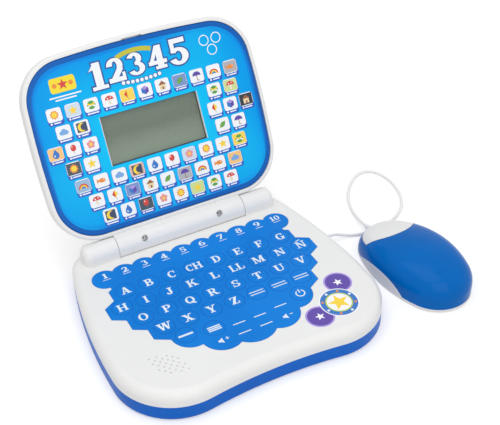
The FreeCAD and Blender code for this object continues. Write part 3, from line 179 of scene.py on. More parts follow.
jacket, jacket_shader, add = new_material("cell_jacket_print")
along = add("SeparateXYZ", Vector=place_on_piece(add)).outputs["X"]
band = math_node(add, "GREATER_THAN", along, JACKET_BAND_X)
paint = add("MixRGB", Fac=band, Color1=srgb(38, 40, 46), Color2=srgb(176, 128, 70))
feed(jacket_shader, Base_Color=paint.outputs["Color"], Metallic=0.4, Roughness=0.3)
dress(jacket, "battery_cell_1", "battery_cell_2", "battery_cell_3")


def plated_metal(name, colour, roughness, streaks):
    """Plated steel with streaks drawn along X, about so many to a metre across them."""
    material, shader, add = new_material(name)
    drawn = add("Mapping", Vector=place_on_piece(add), Scale=(streaks / 12, streaks, streaks))
    scratches = noise(add, 1.0, 3.0, where=drawn.outputs["Vector"])
    worn = two_values(add, scratches, roughness - 0.06, roughness + 0.1, (0.25, 0.75))
    feed(shader, Base_Color=colour, Metallic=1.0, Roughness=worn)
    return material


nickel = plated_metal("nickel_plate", srgb(206, 204, 196), 0.22, 2600)
dress(nickel, "battery_positive_contacts", "battery_negative_contacts")


# Boards
# Pressed paper boards with a green mask over their tracks, screwed to posts. A black resin
# blob covers the bonded chip, and a pale nylon socket takes the keypad's tail.

board_mask, mask_shader, add = new_material("board_green_mask")
tracks = add(
    "TexWave", {"bands_direction": "DIAGONAL"}, Vector=place_on_piece(add), Scale=160.0, Distortion=6.0
)
mask_green = two_shades(add, tracks.outputs["Fac"], srgb(24, 92, 44), srgb(46, 122, 62))
feed(mask_shader, Base_Color=mask_green, Roughness=0.38)
dress(board_mask, "main_board", "display_board", "mouse_board")

resin_black = moulded_plastic("resin_black", srgb(22, 22, 24), 0.3, grain=0.0012)
dress(resin_black, "sound_chip", "mouse_switch", "switch_plunger")
socket_cream = moulded_plastic("socket_cream_nylon", srgb(226, 216, 194), 0.5)
dress(socket_cream, "keypad_socket")


# Speaker
# A pressed steel basket, a black paper cone glued to its seat, and a ferrite ring behind. A
# pale screen stuck under the deck stands up into the holes of the grille.

DECK = 0.0234
GRILLE_X, GRILLE_Y, GRILLE_TURN = -0.0665, -0.0528, math.radians(-45.5)
GRILLE_PITCH, GRILLE_ROW_PITCH, GRILLE_ROWS = 0.004, 0.0034, (3, 6, 8, 6, 3)
SCREEN_RADIUS, SCREEN_DEPTH, SCREEN_SINK = 0.00077, 0.0006, 0.0007


def mottled(name, low, high, roughness, *marks):
    """A matt finish that wanders between two shades; the marks are as in noise."""
    material, shader, add = new_material(name)
    feed(shader, Base_Color=two_shades(add, noise(add, *marks), low, high), Roughness=roughness)
    return material


def geometry_tree(name, sizes):
    """An empty Geometry Nodes tree with a point input, named sizes and a material."""
    tree = bpy.data.node_groups.new(name, "GeometryNodeTree")
    for label, kind in (("Points", "Geometry"), *((size, "Float") for size in sizes), ("Finish", "Material")):
        tree.interface.new_socket(label, in_out="INPUT", socket_type="NodeSocket" + kind)
    tree.interface.new_socket("Pieces", in_out="OUTPUT", socket_type="NodeSocketGeometry")
    entry = tree.nodes.new("NodeGroupInput").outputs
    leave = tree.nodes.new("NodeGroupOutput")
    add = node_adder(tree, "GeometryNode")

    def close(shape):
        """Put the shape on every point, make it real and give it the finish."""
        laid = add("InstanceOnPoints", Points=entry["Points"], Instance=shape)
        real = add("RealizeInstances", Geometry=laid.outputs["Instances"])
        done = add("SetMaterial", Geometry=real.outputs["Geometry"], Material=entry["Finish"])
        feed(leave, Pieces=done.outputs["Geometry"])
        return tree

    return entry, add, close


def new_object(name, data):
    """An object with that data, put in the scene."""
    made = bpy.data.objects.new(name, data)
    bpy.context.scene.collection.objects.link(made)
    return made


def spread(name, tree, points, material, place, **sizes):
    """Run a tree on a set of points and keep the result as a plain mesh."""
    mesh = bpy.data.meshes.new(name)
    mesh.from_pydata([(*point, 0.0)[:3] for point in points], [], [])
    piece = new_object(name, mesh)
    modifier = piece.modifiers.new("pattern", "NODES")
    modifier.node_group = tree
    sizes["Finish"] = material
    for socket in tree.interface.items_tree:
        if socket.in_out == "INPUT" and socket.name in sizes:
            modifier[socket.identifier] = sizes[socket.name]
    grown = piece.evaluated_get(bpy.context.evaluated_depsgraph_get())
    made = bpy.data.meshes.new_from_object(grown)
    piece.modifiers.remove(modifier)
    piece.data = made
    made.name = name
    made.transform(place)
    return piece


def centred(count, pitch):
    """Places along a row, at one pitch about its middle."""
    return [pitch * (column - (count - 1) / 2) for column in range(count)]


def lifted(height):
    """A place straight above the origin."""
    return Matrix.Translation((0, 0, height))


basket_black = moulded_plastic("basket_black_paint", srgb(40, 40, 42), 0.45)
dress(basket_black, "speaker_basket")
cone_paper = mottled("cone_black_paper", srgb(26, 26, 28), srgb(64, 63, 62), 0.85, 1800.0, 5.0, 0.7)
dress(cone_paper, "speaker_cone")
ferrite = moulded_plastic("ferrite_grey", srgb(58, 58, 60), 0.6, grain=0.0004, height=0.00003)
dress(ferrite, "speaker_magnet")

grille_holes = [
    (x, GRILLE_ROW_PITCH * (2 - row))
    for row, count in enumerate(GRILLE_ROWS)
    for x in centred(count, GRILLE_PITCH)
]
entry, add, close = geometry_tree("screen_disc", ("Radius", "Depth"))
disc = add("MeshCylinder", Vertices=20, Radius=entry["Radius"], Depth=entry["Depth"])
screen_cloth = moulded_plastic("screen_pale_cloth", srgb(212, 212, 214), 0.8, grain=0.0003, height=0.00004)
grille_screen = spread(
    "grille_screen", close(disc.outputs["Mesh"]), grille_holes, screen_cloth,
    Matrix.Translation((GRILLE_X, GRILLE_Y, DECK - SCREEN_SINK)) @ Matrix.Rotation(GRILLE_TURN, 4, "Z"),
    Radius=SCREEN_RADIUS, Depth=SCREEN_DEPTH,
)
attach(grille_screen, "base")


# Keypad film
# One sheet of bright blue polyester with every key printed on it, stuck over the contact
# film in a shallow recess of the deck. Each key is a round welt pressed into the sheet.

KEY_PITCH, ROW_PITCH, FIRST_ROW, KEYS_IN_ROW = 0.018, 0.0156, 0.0279, (8, 9, 8, 7)
NUMBER_PITCH, NUMBER_ROW = 0.0156, 0.0478
VOLUME_PITCH, VOLUME_ROW = 0.0166, -0.0503
WELT_RADIUS, WELT_WIDTH, WELT_SINK = 0.0074, 0.00026, 0.00006
FILM_WAVE, FILM_WAVE_HEIGHT = 0.012, 0.00016


def film(name, colour, roughness, shadow, shine=0.5):
    """Glossy printed film that lies not quite flat, with a slow change in its ink."""
    material, shader, add = new_material(name)
    feed(
        shader, Base_Color=two_shades(add, noise(add, 18.0), shadow, colour, (0.35, 0.65)),
        Normal=grain_normal(add, FILM_WAVE, FILM_WAVE_HEIGHT), Roughness=roughness, IOR=PLASTIC_IOR,
        Specular_IOR_Level=shine,
    )
    return material


key_film = film("key_film_blue", srgb(8, 126, 218), 0.4, srgb(4, 118, 208), shine=0.14)
contact_film = film("contact_film_grey", srgb(196, 200, 204), 0.4, srgb(186, 190, 196))
dress(key_film, "keypad_overlay")
dress(contact_film, "keypad_membrane")

number_keys = [(x, NUMBER_ROW) for x in centred(10, NUMBER_PITCH)]
letter_keys = [
    [(x, FIRST_ROW - ROW_PITCH * row) for x in centred(count, KEY_PITCH)]
    for row, count in enumerate(KEYS_IN_ROW)
]
symbol_keys = [
    (-0.0449, -0.0335), (-0.0249, -0.037), (-0.0076, -0.0405), (0.0085, -0.0405), (0.0258, -0.0388),
    (0.0445, -0.0344),
]
volume_keys = [(x, VOLUME_ROW) for x in centred(4, VOLUME_PITCH)]

entry, add, close = geometry_tree("key_welt", ("Radius", "Width"))
rim = add("CurvePrimitiveCircle", Radius=entry["Radius"], Resolution=40)
section = add("CurvePrimitiveCircle", Radius=entry["Width"], Resolution=6)
tube = add("CurveToMesh", Curve=rim.outputs["Curve"], Profile_Curve=section.outputs["Curve"])
welted_keys = [key for row in letter_keys for key in row] + symbol_keys[:2] + symbol_keys[5:]
# The welts are painted a darker blue than the film: painted shade for the shading a pressed ring shows.
welt_painted_shade = film("key_welt_painted_shade", srgb(4, 108, 196), 0.45, srgb(2, 104, 190), shine=0.14)
key_welts = spread(
    "key_welts", close(tube.outputs["Mesh"]), welted_keys, welt_painted_shade, lifted(DECK - WELT_SINK),
    Radius=WELT_RADIUS, Width=WELT_WIDTH,
)
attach(key_welts, "base")


# Key legends
# White ink on the film: numbers, the alphabet, plain bars for the long legends, and the usual
# signs for power and volume.

THICK, SLAB, OVERHANG, LETTER_GAP = 0.23, 0.09, 0.09, 0.1
INK = 0.00006


def printed_ink(name, colour):
    """Opaque screen ink with the faint mottle of a print."""
    return mottled(name, [part * 0.93 for part in colour[:3]] + [1], colour, 0.4, 900.0)


def box(left, low, right, high):
    """Outline of a bar by its edges."""
    return [(left, low), (right, low), (right, high), (left, high)]


def bar(x, y, width, height):
    """Outline of a bar about its middle."""
    return box(x - width / 2, y - height / 2, x + width / 2, y + height / 2)


def arc(x, y, wide, tall, start, stop, steps):
    """Points along part of an ellipse, from a start to a stop angle in degrees."""
    turns = [math.radians(start + (stop - start) * step / steps) for step in range(steps + 1)]
    return [(x + wide * math.cos(turn), y + tall * math.sin(turn)) for turn in turns]


def band_arc(x, y, inner, outer, start, stop, steps=24):
    """Outline of a ring's arc, from a start to a stop angle in degrees."""
    return arc(x, y, outer, outer, start, stop, steps) + arc(x, y, inner, inner, start, stop, steps)[::-1]


def head(left, right):
    """The thin slab at a letter's head."""
    return box(left, 1 - SLAB, right, 1)


def foot(left, right):
    """The thin slab at a letter's foot."""
    return box(left, 0, right, SLAB)


def post(left=OVERHANG):
    """A letter's thick upright with a slab at its head and foot."""
    ends = left - OVERHANG, left + THICK + OVERHANG
    return [box(left, 0, left + THICK, 1), foot(*ends), head(*ends)]


def slant(foot_left, foot_right, head_right, head_left, low=0, high=1):
    """A letter's slanted stroke, by the ends of its foot and its head."""
    return [(foot_left, low), (foot_right, low), (head_right, high), (head_left, high)]


def bow(x, y, wide, tall, start=-90, stop=90, side=THICK, steps=16):
    """Part of a letter's round, a ring that is thick at its sides and thin at its head and foot."""
    back = arc(x, y, wide - side, tall - SLAB, start, stop, steps)[::-1]
    return arc(x, y, wide, tall, start, stop, steps) + back


def ring(x, y, wide, tall):
    """A letter's whole round, in two halves."""
    return [bow(x, y, wide, tall), bow(x, y, wide, tall, 90, 270)]


C_STROKES = [bow(0.45, 0.5, 0.45, 0.5, 48, 315), box(0.7, 0.62, 0.8, 0.98)]
N_STROKES = [
    box(0.12, 0, 0.24, 1), box(0.82, 0, 0.94, 1), slant(0.74, 0.94, 0.34, 0.04), foot(0, 0.36),
    head(0.7, 1.06), head(0, 0.26),
]
P_STROKES = [*post(), head(0.3, 0.46), box(0.3, 0.44, 0.46, 0.54), bow(0.45, 0.72, 0.38, 0.28)]
LETTERS = {
    "A": [
        slant(0.08, 0.2, 0.52, 0.4), slant(0.62, 0.92, 0.6, 0.36), box(0.2, 0.26, 0.76, 0.36),
        foot(0, 0.32), foot(0.52, 1.02),
    ],
    "B": [
        *post(), head(0.3, 0.46), foot(0.3, 0.46), box(0.3, 0.46, 0.48, 0.56),
        bow(0.45, 0.75, 0.32, 0.25), bow(0.45, 0.27, 0.38, 0.27),
    ],
    "C": C_STROKES,
    "D": [*post(), head(0.3, 0.42), foot(0.3, 0.42), bow(0.4, 0.5, 0.48, 0.5)],
    "E": [
        *post(), head(0.3, 0.78), foot(0.3, 0.82), box(0.3, 0.45, 0.6, 0.55), box(0.68, 0.7, 0.78, 1),
        box(0.72, 0, 0.82, 0.32), box(0.52, 0.36, 0.6, 0.64),
    ],
    "F": [
        *post(), head(0.3, 0.78), box(0.3, 0.45, 0.6, 0.55), box(0.68, 0.7, 0.78, 1),
        box(0.52, 0.36, 0.6, 0.64),
    ],
    "G": [*C_STROKES, box(0.6, 0.04, 0.84, 0.42), box(0.5, 0.36, 0.93, 0.45)],
    "H": [*post(), *post(0.72), box(0.3, 0.45, 0.76, 0.55)],
    "I": post(),
    "J": [
        box(0.34, 0.26, 0.59, 1), head(0.22, 0.7), bow(0.29, 0.27, 0.3, 0.27, 200, 360),
        box(0, 0.17, 0.17, 0.34),
    ],
    "K": [
        *post(), [(0.3, 0.4), (0.44, 0.36), (0.88, 1), (0.72, 1)],
        [(0.44, 0.56), (0.72, 0), (1.02, 0), (0.6, 0.66)], head(0.62, 0.98), foot(0.6, 1.08),
    ],
    "L": [*post(), foot(0.3, 0.8), box(0.7, 0, 0.8, 0.34)],
    "M": [
        box(0.1, 0, 0.22, 1), box(0.92, 0, 1.17, 1), slant(0.56, 0.72, 0.36, 0.08),
        slant(0.58, 0.7, 1.04, 0.92), foot(0, 0.33), foot(0.83, 1.26), head(0, 0.3), head(0.95, 1.26),
    ],
    "N": N_STROKES,
    "Ñ": [*N_STROKES, box(0.26, 1.12, 0.56, 1.22), box(0.5, 1.18, 0.8, 1.28)],
    "O": ring(0.48, 0.5, 0.48, 0.5),
    "P": P_STROKES,
    "Q": [*ring(0.48, 0.5, 0.48, 0.5), [(0.4, 0.24), (0.74, -0.14), (1.0, -0.1), (0.6, 0.28)]],
    "R": [*P_STROKES, slant(0.7, 0.98, 0.62, 0.36, high=0.5), foot(0.64, 1.04)],
    "S": [
        bow(0.41, 0.735, 0.36, 0.265, 35, 270), bow(0.43, 0.265, 0.38, 0.265, -150, 90),
        box(0.66, 0.66, 0.75, 0.98), box(0.05, 0.02, 0.14, 0.36),
    ],
    "T": [
        box(0.33, 0, 0.58, 1), foot(0.2, 0.71), head(0, 0.91), box(0, 0.7, 0.1, 1),
        box(0.81, 0.7, 0.91, 1),
    ],
    "U": [
        box(0.1, 0.3, 0.35, 1), head(0, 0.45), box(0.78, 0.3, 0.9, 1), head(0.66, 1.02),
        bow(0.5, 0.31, 0.4, 0.31, 180, 270), bow(0.5, 0.31, 0.4, 0.31, 270, 360, 0.12),
    ],
    "V": [slant(0.44, 0.62, 0.38, 0.06), slant(0.48, 0.62, 0.93, 0.8), head(0, 0.47), head(0.67, 1.05)],
    "W": [
        slant(0.38, 0.56, 0.36, 0.06), slant(0.42, 0.54, 0.8, 0.68), slant(0.9, 1.08, 0.9, 0.6),
        slant(0.94, 1.06, 1.36, 1.24), head(0, 0.46), head(0.56, 0.98), head(1.12, 1.48),
    ],
    "X": [
        slant(0.68, 0.98, 0.36, 0.06), slant(0.16, 0.3, 0.88, 0.74), head(0, 0.44), head(0.64, 1.0),
        foot(0.04, 0.42), foot(0.6, 1.06),
    ],
    "Y": [
        slant(0.38, 0.63, 0.36, 0.06, low=0.42), slant(0.5, 0.63, 0.93, 0.8, low=0.42),
        box(0.38, 0, 0.63, 0.46), head(0, 0.45), head(0.68, 1.04), foot(0.25, 0.76),
    ],
    "Z": [
        head(0.04, 0.82), foot(0, 0.84), slant(0, 0.32, 0.82, 0.52), box(0.04, 0.7, 0.14, 1),
        box(0.74, 0, 0.84, 0.32),
    ],
    "0": ring(0.4, 0.5, 0.4, 0.5),
    "1": [box(0.2, 0, 0.45, 1), foot(0.04, 0.61), [(0.02, 0.74), (0.24, 0.82), (0.24, 1)]],
    "2": [
        bow(0.37, 0.7, 0.36, 0.3, -35, 175), [(0, 0), (0.28, 0), (0.7, 0.5), (0.5, 0.58)],
        box(0, 0, 0.76, 0.15), box(0.67, 0, 0.76, 0.32),
    ],
    "3": [bow(0.34, 0.74, 0.34, 0.26, -90, 155), bow(0.36, 0.28, 0.4, 0.28, -155, 90)],
    "4": [
        box(0.42, 0, 0.67, 1), box(0, 0.22, 0.84, 0.34), slant(0, 0.14, 0.56, 0.42, low=0.22),
        foot(0.3, 0.8),
    ],
    "5": [box(0.1, 0.86, 0.7, 1), box(0.1, 0.5, 0.22, 1), bow(0.36, 0.32, 0.4, 0.32, -155, 135)],
    "6": [*ring(0.4, 0.31, 0.4, 0.31), bow(0.54, 0.42, 0.54, 0.58, 85, 190)],
    "7": [box(0, 0.85, 0.78, 1), box(0, 0.68, 0.1, 1), slant(0.14, 0.4, 0.78, 0.58, high=0.9)],
    "8": [*ring(0.4, 0.745, 0.35, 0.255), *ring(0.4, 0.28, 0.4, 0.28)],
    "9": [*ring(0.4, 0.69, 0.4, 0.31), bow(0.26, 0.58, 0.54, 0.58, -95, 10)],
}


def widened(outline, reach):
    """An outline with its edges moved out by a distance, and their corners met again."""
    count = len(outline)
    area = sum(
        outline[k - 1][0] * outline[k][1] - outline[k][0] * outline[k - 1][1] for k in range(count)
    )
    corners = [Vector(point) for point in (outline if area > 0 else outline[::-1])]
    moved = []
    for k, corner in enumerate(corners):
        before = (corner - corners[k - 1]).normalized()
        after = (corners[(k + 1) % count] - corner).normalized()
        out = Vector((before.y + after.y, -before.x - after.x))
        moved.append(corner + out * (reach / max(0.5, 1 + before.dot(after))))
    return moved


def lettering(items, reach=0.0):
    """Letters as one mesh; an item is text, its middle, its height and its width factor."""
    joined = bmesh.new()
    for text, x, y, height, stretch in items:
        corners, strokes, right = [], [], 0.0
        for letter in text:
            for outline in LETTERS[letter]:
                shape = widened(outline, reach)
                strokes.append(list(range(len(corners), len(corners) + len(shape))))
                corners += [point + Vector((right, 0)) for point in shape]
            right += max(u for outline in LETTERS[letter] for u, v in outline) + LETTER_GAP
        flat = geometry.delaunay_2d_cdt(corners, [], strokes, 0, 1e-5)
        inked = [face for face, source in zip(flat[2], flat[5]) if source]
        middle = Vector(((right - LETTER_GAP) / 2, 0.5))
        layers = []
        for level in (-INK / 2, INK / 2):
            spots = [(point - middle) * height for point in flat[0]]
            layers.append([joined.verts.new((x + spot.x * stretch, y + spot.y, level)) for spot in spots])
        low, high = layers
        edges = {(face[k - 1], face[k]) for face in inked for k in range(3)}
        for face in inked:
            joined.faces.new([high[k] for k in face])
            joined.faces.new([low[k] for k in reversed(face)])
        for start, stop in edges:
            if (stop, start) not in edges:
                joined.faces.new((low[start], low[stop], high[stop], high[start]))
    loose = [vertex for vertex in joined.verts if not vertex.link_faces]
    bmesh.ops.delete(joined, geom=loose, context="VERTS")
    return joined


def prism(mesh, outline, level=0.0, thickness=INK):
    """Add a flat closed shape with that outline, its middle at a level, to a bmesh."""
    low = [mesh.verts.new((x, y, level - thickness / 2)) for x, y in outline]
    high = [mesh.verts.new((x, y, level + thickness / 2)) for x, y in outline]
    faces = [mesh.faces.new(low[::-1]), mesh.faces.new(high)]
    for index in range(len(outline)):
        after = (index + 1) % len(outline)
        faces.append(mesh.faces.new((low[index], low[after], high[after], high[index])))
    return faces


def piece_from(joined, name, material, place):
    """A bmesh as a finished piece."""
    bmesh.ops.recalc_face_normals(joined, faces=joined.faces)
    mesh = bpy.data.meshes.new(name)
    joined.to_mesh(mesh)
    joined.free()
    mesh.transform(place)
    mesh.materials.append(material)
    return new_object(name, mesh)


LETTER_ROWS = ("A B C CH D E F G", "H I J K L LL M N Ñ", "O P Q R S T U V", "W X Y Z")
LETTER_HEIGHT, LETTER_STRETCH, PAIR_STRETCH = 0.0071, 1.0, 0.9
NUMBER_HEIGHT, NUMBER_STRETCH, TEN_STRETCH = 0.0053, 1.14, 0.95
NUMBER_LIFT, NUMBER_RULE_DROP, NUMBER_RULE = 0.0014, 0.003, (0.0062, 0.0005)
WORD_BAR, WIDE_BAR = (0.0112, 0.0008), (0.0108, 0.0017)
TEXT_BAR, SHORT_BAR = (0.0096, 0.0011), (0.0094, 0.0008)
WORD_LINE, TEXT_LINE, LEGEND_LEVEL = 0.0013, 0.0017, 0.00004
POWER_RING, POWER_STROKE_UP, POWER_STROKE = (0.0027, 0.0036, 122, 418), 0.0024, (0.0009, 0.0036)
letters = [
    (str(number), x, y + NUMBER_LIFT, NUMBER_HEIGHT, NUMBER_STRETCH if number < 10 else TEN_STRETCH)
    for number, (x, y) in enumerate(number_keys, start=1)
]
for legends, row in zip(LETTER_ROWS, letter_keys):
    letters += [
        (legend, x, y, LETTER_HEIGHT, LETTER_STRETCH if len(legend) == 1 else PAIR_STRETCH)
        for legend, (x, y) in zip(legends.split(), row)
    ]
key_print = lettering(letters)
text_x, text_y = symbol_keys[1]
key_bars = [(x, y - NUMBER_RULE_DROP, *NUMBER_RULE) for x, y in number_keys]
key_bars += [(x, y + line, *WORD_BAR) for x, y in letter_keys[3][4:] for line in (-WORD_LINE, WORD_LINE)]
key_bars.append((*symbol_keys[0], *WIDE_BAR))
key_bars += [(text_x, text_y + line, *TEXT_BAR) for line in (-TEXT_LINE, 0, TEXT_LINE)]
key_bars += [(x, y, *SHORT_BAR) for x, y in symbol_keys[2:5] + volume_keys[1:3]]
for sizes in key_bars:
    prism(key_print, bar(*sizes))

power_x, power_y = symbol_keys[5]
prism(key_print, band_arc(power_x, power_y, *POWER_RING))
prism(key_print, bar(power_x, power_y + POWER_STROKE_UP, *POWER_STROKE))
SIGN_UNIT, SIGN_RIGHT, SIGN_UP = 0.0001, 0.0034, 0.0008
HORN = [(-34, -10), (-20, -10), (0, -26), (0, 26), (-20, 10), (-34, 10)]
PLUS = [
    (-13, -3), (-3, -3), (-3, -13), (3, -13), (3, -3), (13, -3), (13, 3), (3, 3), (3, 13), (-3, 13), (-3, 3),
    (-13, 3),
]
MINUS = box(-13, -3, 13, 3)
for (x, y), sign in ((volume_keys[0], PLUS), (volume_keys[3], MINUS)):
    prism(key_print, [(x + SIGN_UNIT * u, y + SIGN_UNIT * v) for u, v in HORN])
    prism(key_print, [(x + SIGN_RIGHT + SIGN_UNIT * u, y + SIGN_UP + SIGN_UNIT * v) for u, v in sign])
legend_white = printed_ink("legend_white_ink", srgb(228, 238, 246))
key_legends = piece_from(key_print, "key_legends", legend_white, lifted(DECK + LEGEND_LEVEL))
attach(key_legends, "base")


# Sticker
# A die-cut vinyl sticker on the deck, a large round with two ears, printed with plain rounds
# and stars. It is stuck on along the curve of the front corner.

STICKER_X, STICKER_Y, STICKER_LIFT = 0.0634, -0.0558, 0.00022
EARS, EAR_RADIUS = ((0.0736, -0.0374), (0.0442, -0.062)), 0.011
BEAD_CIRCLE, BEAD, STAR_RADIUS = 0.0116, 0.002, 0.0082
PURPLE, TEAL, LIME = srgb(92, 66, 166), srgb(44, 116, 196), srgb(186, 206, 60)
ORANGE, YELLOW, LILAC = srgb(236, 140, 48), srgb(250, 214, 60), srgb(172, 150, 220)
PAPER = srgb(248, 248, 252)


def coloured_print(name, roughness):
    """Printed ink that takes its colour from the mesh, with the faint dots of a press."""
    material, shader, add = new_material(name)
    ink = add("Attribute", {"attribute_name": "ink"}).outputs["Color"]
    dots = two_values(add, noise(add, 1400.0), 0.9, 1.05)
    dotted = add("VectorMath", {"operation": "SCALE"}, Vector=ink, Scale=dots)
    feed(shader, Base_Color=dotted.outputs["Vector"], Roughness=roughness, IOR=PLASTIC_IOR)
    return material


def print_piece(name, shapes, material, place, step=0.00002):
    """Shapes of one print, each a colour, an outline and a layer, as one piece."""
    joined = bmesh.new()
    ink = joined.loops.layers.float_color.new("ink")
    for colour, outline, layer in shapes:
        for face in prism(joined, outline, step * layer, step * 1.5):
            for loop in face.loops:
                loop[ink] = colour
    return piece_from(joined, name, material, place)


def oval(x, y, width, height=None, turn=0.0, steps=40):
    """Outline of a round, or of an ellipse turned by an angle in degrees, about its middle."""
    height, turn = height or width, math.radians(turn)
    points = []
    for step in range(steps):
        angle = 2 * math.pi * step / steps
        u, v = width / 2 * math.cos(angle), height / 2 * math.sin(angle)
        across = x + u * math.cos(turn) - v * math.sin(turn)
        points.append((across, y + u * math.sin(turn) + v * math.cos(turn)))
    return points


def star(x, y, radius, points=5, waist=0.42, turn=90.0):
    """Outline of a star about its middle."""
    outline = []
    for index in range(points * 2):
        reach = radius * (1 if index % 2 == 0 else waist)
        angle = math.radians(turn + 180 / points * index)
        outline.append((x + reach * math.cos(angle), y + reach * math.sin(angle)))
    return outline


sticker_vinyl = film("sticker_white_vinyl", srgb(240, 240, 246), 0.3, srgb(232, 232, 240))
dress(sticker_vinyl, "sticker")
sticker_shapes = []
for x, y in EARS:
    sticker_shapes += [
        (LILAC, oval(x, y, EAR_RADIUS * 1.9), 0), (PURPLE, oval(x, y, EAR_RADIUS * 1.66), 1),
        (PAPER, star(x, y, EAR_RADIUS * 0.34), 2),
    ]
rounds = ((PAPER, 0.0284), (TEAL, 0.0268), (LIME, 0.0196), (PAPER, 0.0176))
for layer, (ink, width) in enumerate(rounds, start=3):
    sticker_shapes.append((ink, oval(STICKER_X, STICKER_Y, width), layer))
sticker_shapes.append((YELLOW, star(STICKER_X, STICKER_Y, STAR_RADIUS), 7))
for index, (x, y) in enumerate(arc(STICKER_X, STICKER_Y, BEAD_CIRCLE, BEAD_CIRCLE, 20, 335, 7)):
    sticker_shapes.append((ORANGE if index % 2 else PAPER, oval(x, y, BEAD, steps=14), 5))
press_ink = coloured_print("press_ink", 0.32)
sticker_print = print_piece("sticker_print", sticker_shapes, press_ink, lifted(DECK + STICKER_LIFT))
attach(sticker_print, "base")


# Lid shells
# The white front frame and the white back meet at a seam round the lid's edge, and close
# round the hinge pins between the two bosses of the deck.

dress(case_white, "lid_front_frame", "lid_back_shell")


# Lid panel and its printed sheet
# A glossy blue moulding let into the frame carries the display and a polyester sheet. The
# print is sky blue with paler clouds, and fades to deep blue over the panel's margin.

LID_TURN = math.radians(61.5)
HINGE = Vector((0, 0.0715, 0.027))
lid_place = Matrix.Translation(HINGE) @ Matrix.Rotation(LID_TURN, 4, "X")
SHEET_MIDDLE, SHEET_HALF_WIDTH, SHEET_HALF_HEIGHT = 0.0781, 0.0847, 0.0612
SHEET_CORNER_POWER, FADE_REACH, FADE_DRIFT = 5.0, 1.1, 0.02
EDGE_BLUE, DEEP_BLUE, CLOUD_BLUE = srgb(8, 138, 226), srgb(12, 95, 180), srgb(28, 206, 248)


def fading_blue(add, stops):
    """Colour by how far out a point of the lid lies, 1 at the sheet's edge, and the clouds in it."""
    where = place_on_piece(add)
    to_sheet = (lid_place @ Matrix.Translation((0, SHEET_MIDDLE, 0))).inverted()
    local = add("Mapping", Vector=where, Location=to_sheet.translation, Rotation=to_sheet.to_euler())
    axes = add("SeparateXYZ", Vector=local.outputs["Vector"])
    outward = []
    for axis, half in (("X", SHEET_HALF_WIDTH), ("Y", SHEET_HALF_HEIGHT)):
        share = math_node(add, "DIVIDE", math_node(add, "ABSOLUTE", axes.outputs[axis]), half)
        outward.append(math_node(add, "POWER", share, SHEET_CORNER_POWER))
    edge = math_node(add, "POWER", math_node(add, "ADD", *outward), 1 / SHEET_CORNER_POWER)
    cloud = noise(add, 14.0, 1.0, where=where)
    drift = math_node(add, "MULTIPLY", math_node(add, "SUBTRACT", cloud, 0.5), FADE_DRIFT)
    ramp = add("ValToRGB", Fac=math_node(add, "DIVIDE", math_node(add, "ADD", edge, drift), FADE_REACH))
    shades = ramp.color_ramp.elements
    shades.remove(shades[1])
    shades[0].position, shades[0].color = stops[0][0] / FADE_REACH, stops[0][1]
    for reach, colour in stops[1:]:
        shades.new(reach / FADE_REACH).color = colour
    return ramp.outputs["Color"], cloud


panel_blue = moulded_plastic("panel_blue_abs", DEEP_BLUE, 0.3, grain=0.002, height=0.00001, shine=0.18)
panel_tree = panel_blue.node_tree
add = node_adder(panel_tree, "ShaderNode")
panel_shade, _ = fading_blue(add, ((1.0, EDGE_BLUE), (1.022, DEEP_BLUE)))
feed(panel_tree.nodes["Principled BSDF"], Base_Color=panel_shade)
dress(panel_blue, "lid_panel")

sheet_ink, sheet_shader, add = new_material("lid_sheet_blue")
sheet_stops = (
    (0.4, srgb(8, 194, 245)), (0.9, srgb(4, 161, 234)), (0.98, srgb(4, 155, 233)), (1.0, EDGE_BLUE),
)
sky_shade, cloud = fading_blue(add, sheet_stops)
pale = two_values(add, cloud, 0.0, 0.34, (0.42, 0.64))
clouded = add("MixRGB", Fac=pale, Color1=sky_shade, Color2=CLOUD_BLUE)
feed(sheet_shader, Base_Color=clouded.outputs["Color"], Roughness=0.34, Specular_IOR_Level=0.11)
dress(sheet_ink, "lid_graphic_sheet")


# Picture cards
# Small white cards printed round the display, each over a deep blue shadow that also carries
# a white dot and bar under the card. A row has a count, a pitch, a middle and a height.

SHEET_FACE = 0.0027
CARD_ROWS = (
    (11, 0.0141, 0.0, 0.1054), (2, 0.0138, -0.0602, 0.0918), (3, 0.0134, -0.0636, 0.0782),
    (2, 0.0138, -0.0602, 0.0646), (2, 0.0138, 0.0602, 0.0918), (3, 0.0134, 0.0636, 0.0782),
    (2, 0.0138, 0.0602, 0.0646), (10, 0.0142, 0.0, 0.0506), (9, 0.0142, 0.0, 0.0374),
    (8, 0.0142, 0.0, 0.0242),
)
card_centres = [
    (middle + x, y) for count, pitch, middle, y in CARD_ROWS for x in centred(count, pitch)
]
CARD_SIZES = ("Width", "Height", "Corner", "Thickness")


def on_sheet(level):
    """A place on the lid, at a level above its sheet."""
    return lid_place @ lifted(SHEET_FACE + level)


def slab(add, outline, thickness):
    """Nodes that fill a closed curve and raise it to a thin closed slab."""
    flat = add("FillCurve", {"mode": "NGONS"}, Curve=outline)
    raised = add("ExtrudeMesh", Mesh=flat.outputs["Mesh"], Offset_Scale=thickness)
    under = add("FlipFaces", Mesh=flat.outputs["Mesh"])
    both = add("JoinGeometry")
    for half in (raised, under):
        feed(both, Geometry=half.outputs["Mesh"])
    return add("MergeByDistance", Geometry=both.outputs["Geometry"], Distance=1e-7).outputs["Geometry"]


entry, add, close = geometry_tree("rounded_card", CARD_SIZES)
card_line = add("CurvePrimitiveQuadrilateral", Width=entry["Width"], Height=entry["Height"])
rounded = add(
    "FilletCurve", {"mode": "POLY"}, Curve=card_line.outputs["Curve"], Radius=entry["Corner"], Count=5
)
card_tree = close(slab(add, rounded.outputs["Curve"], entry["Thickness"]))

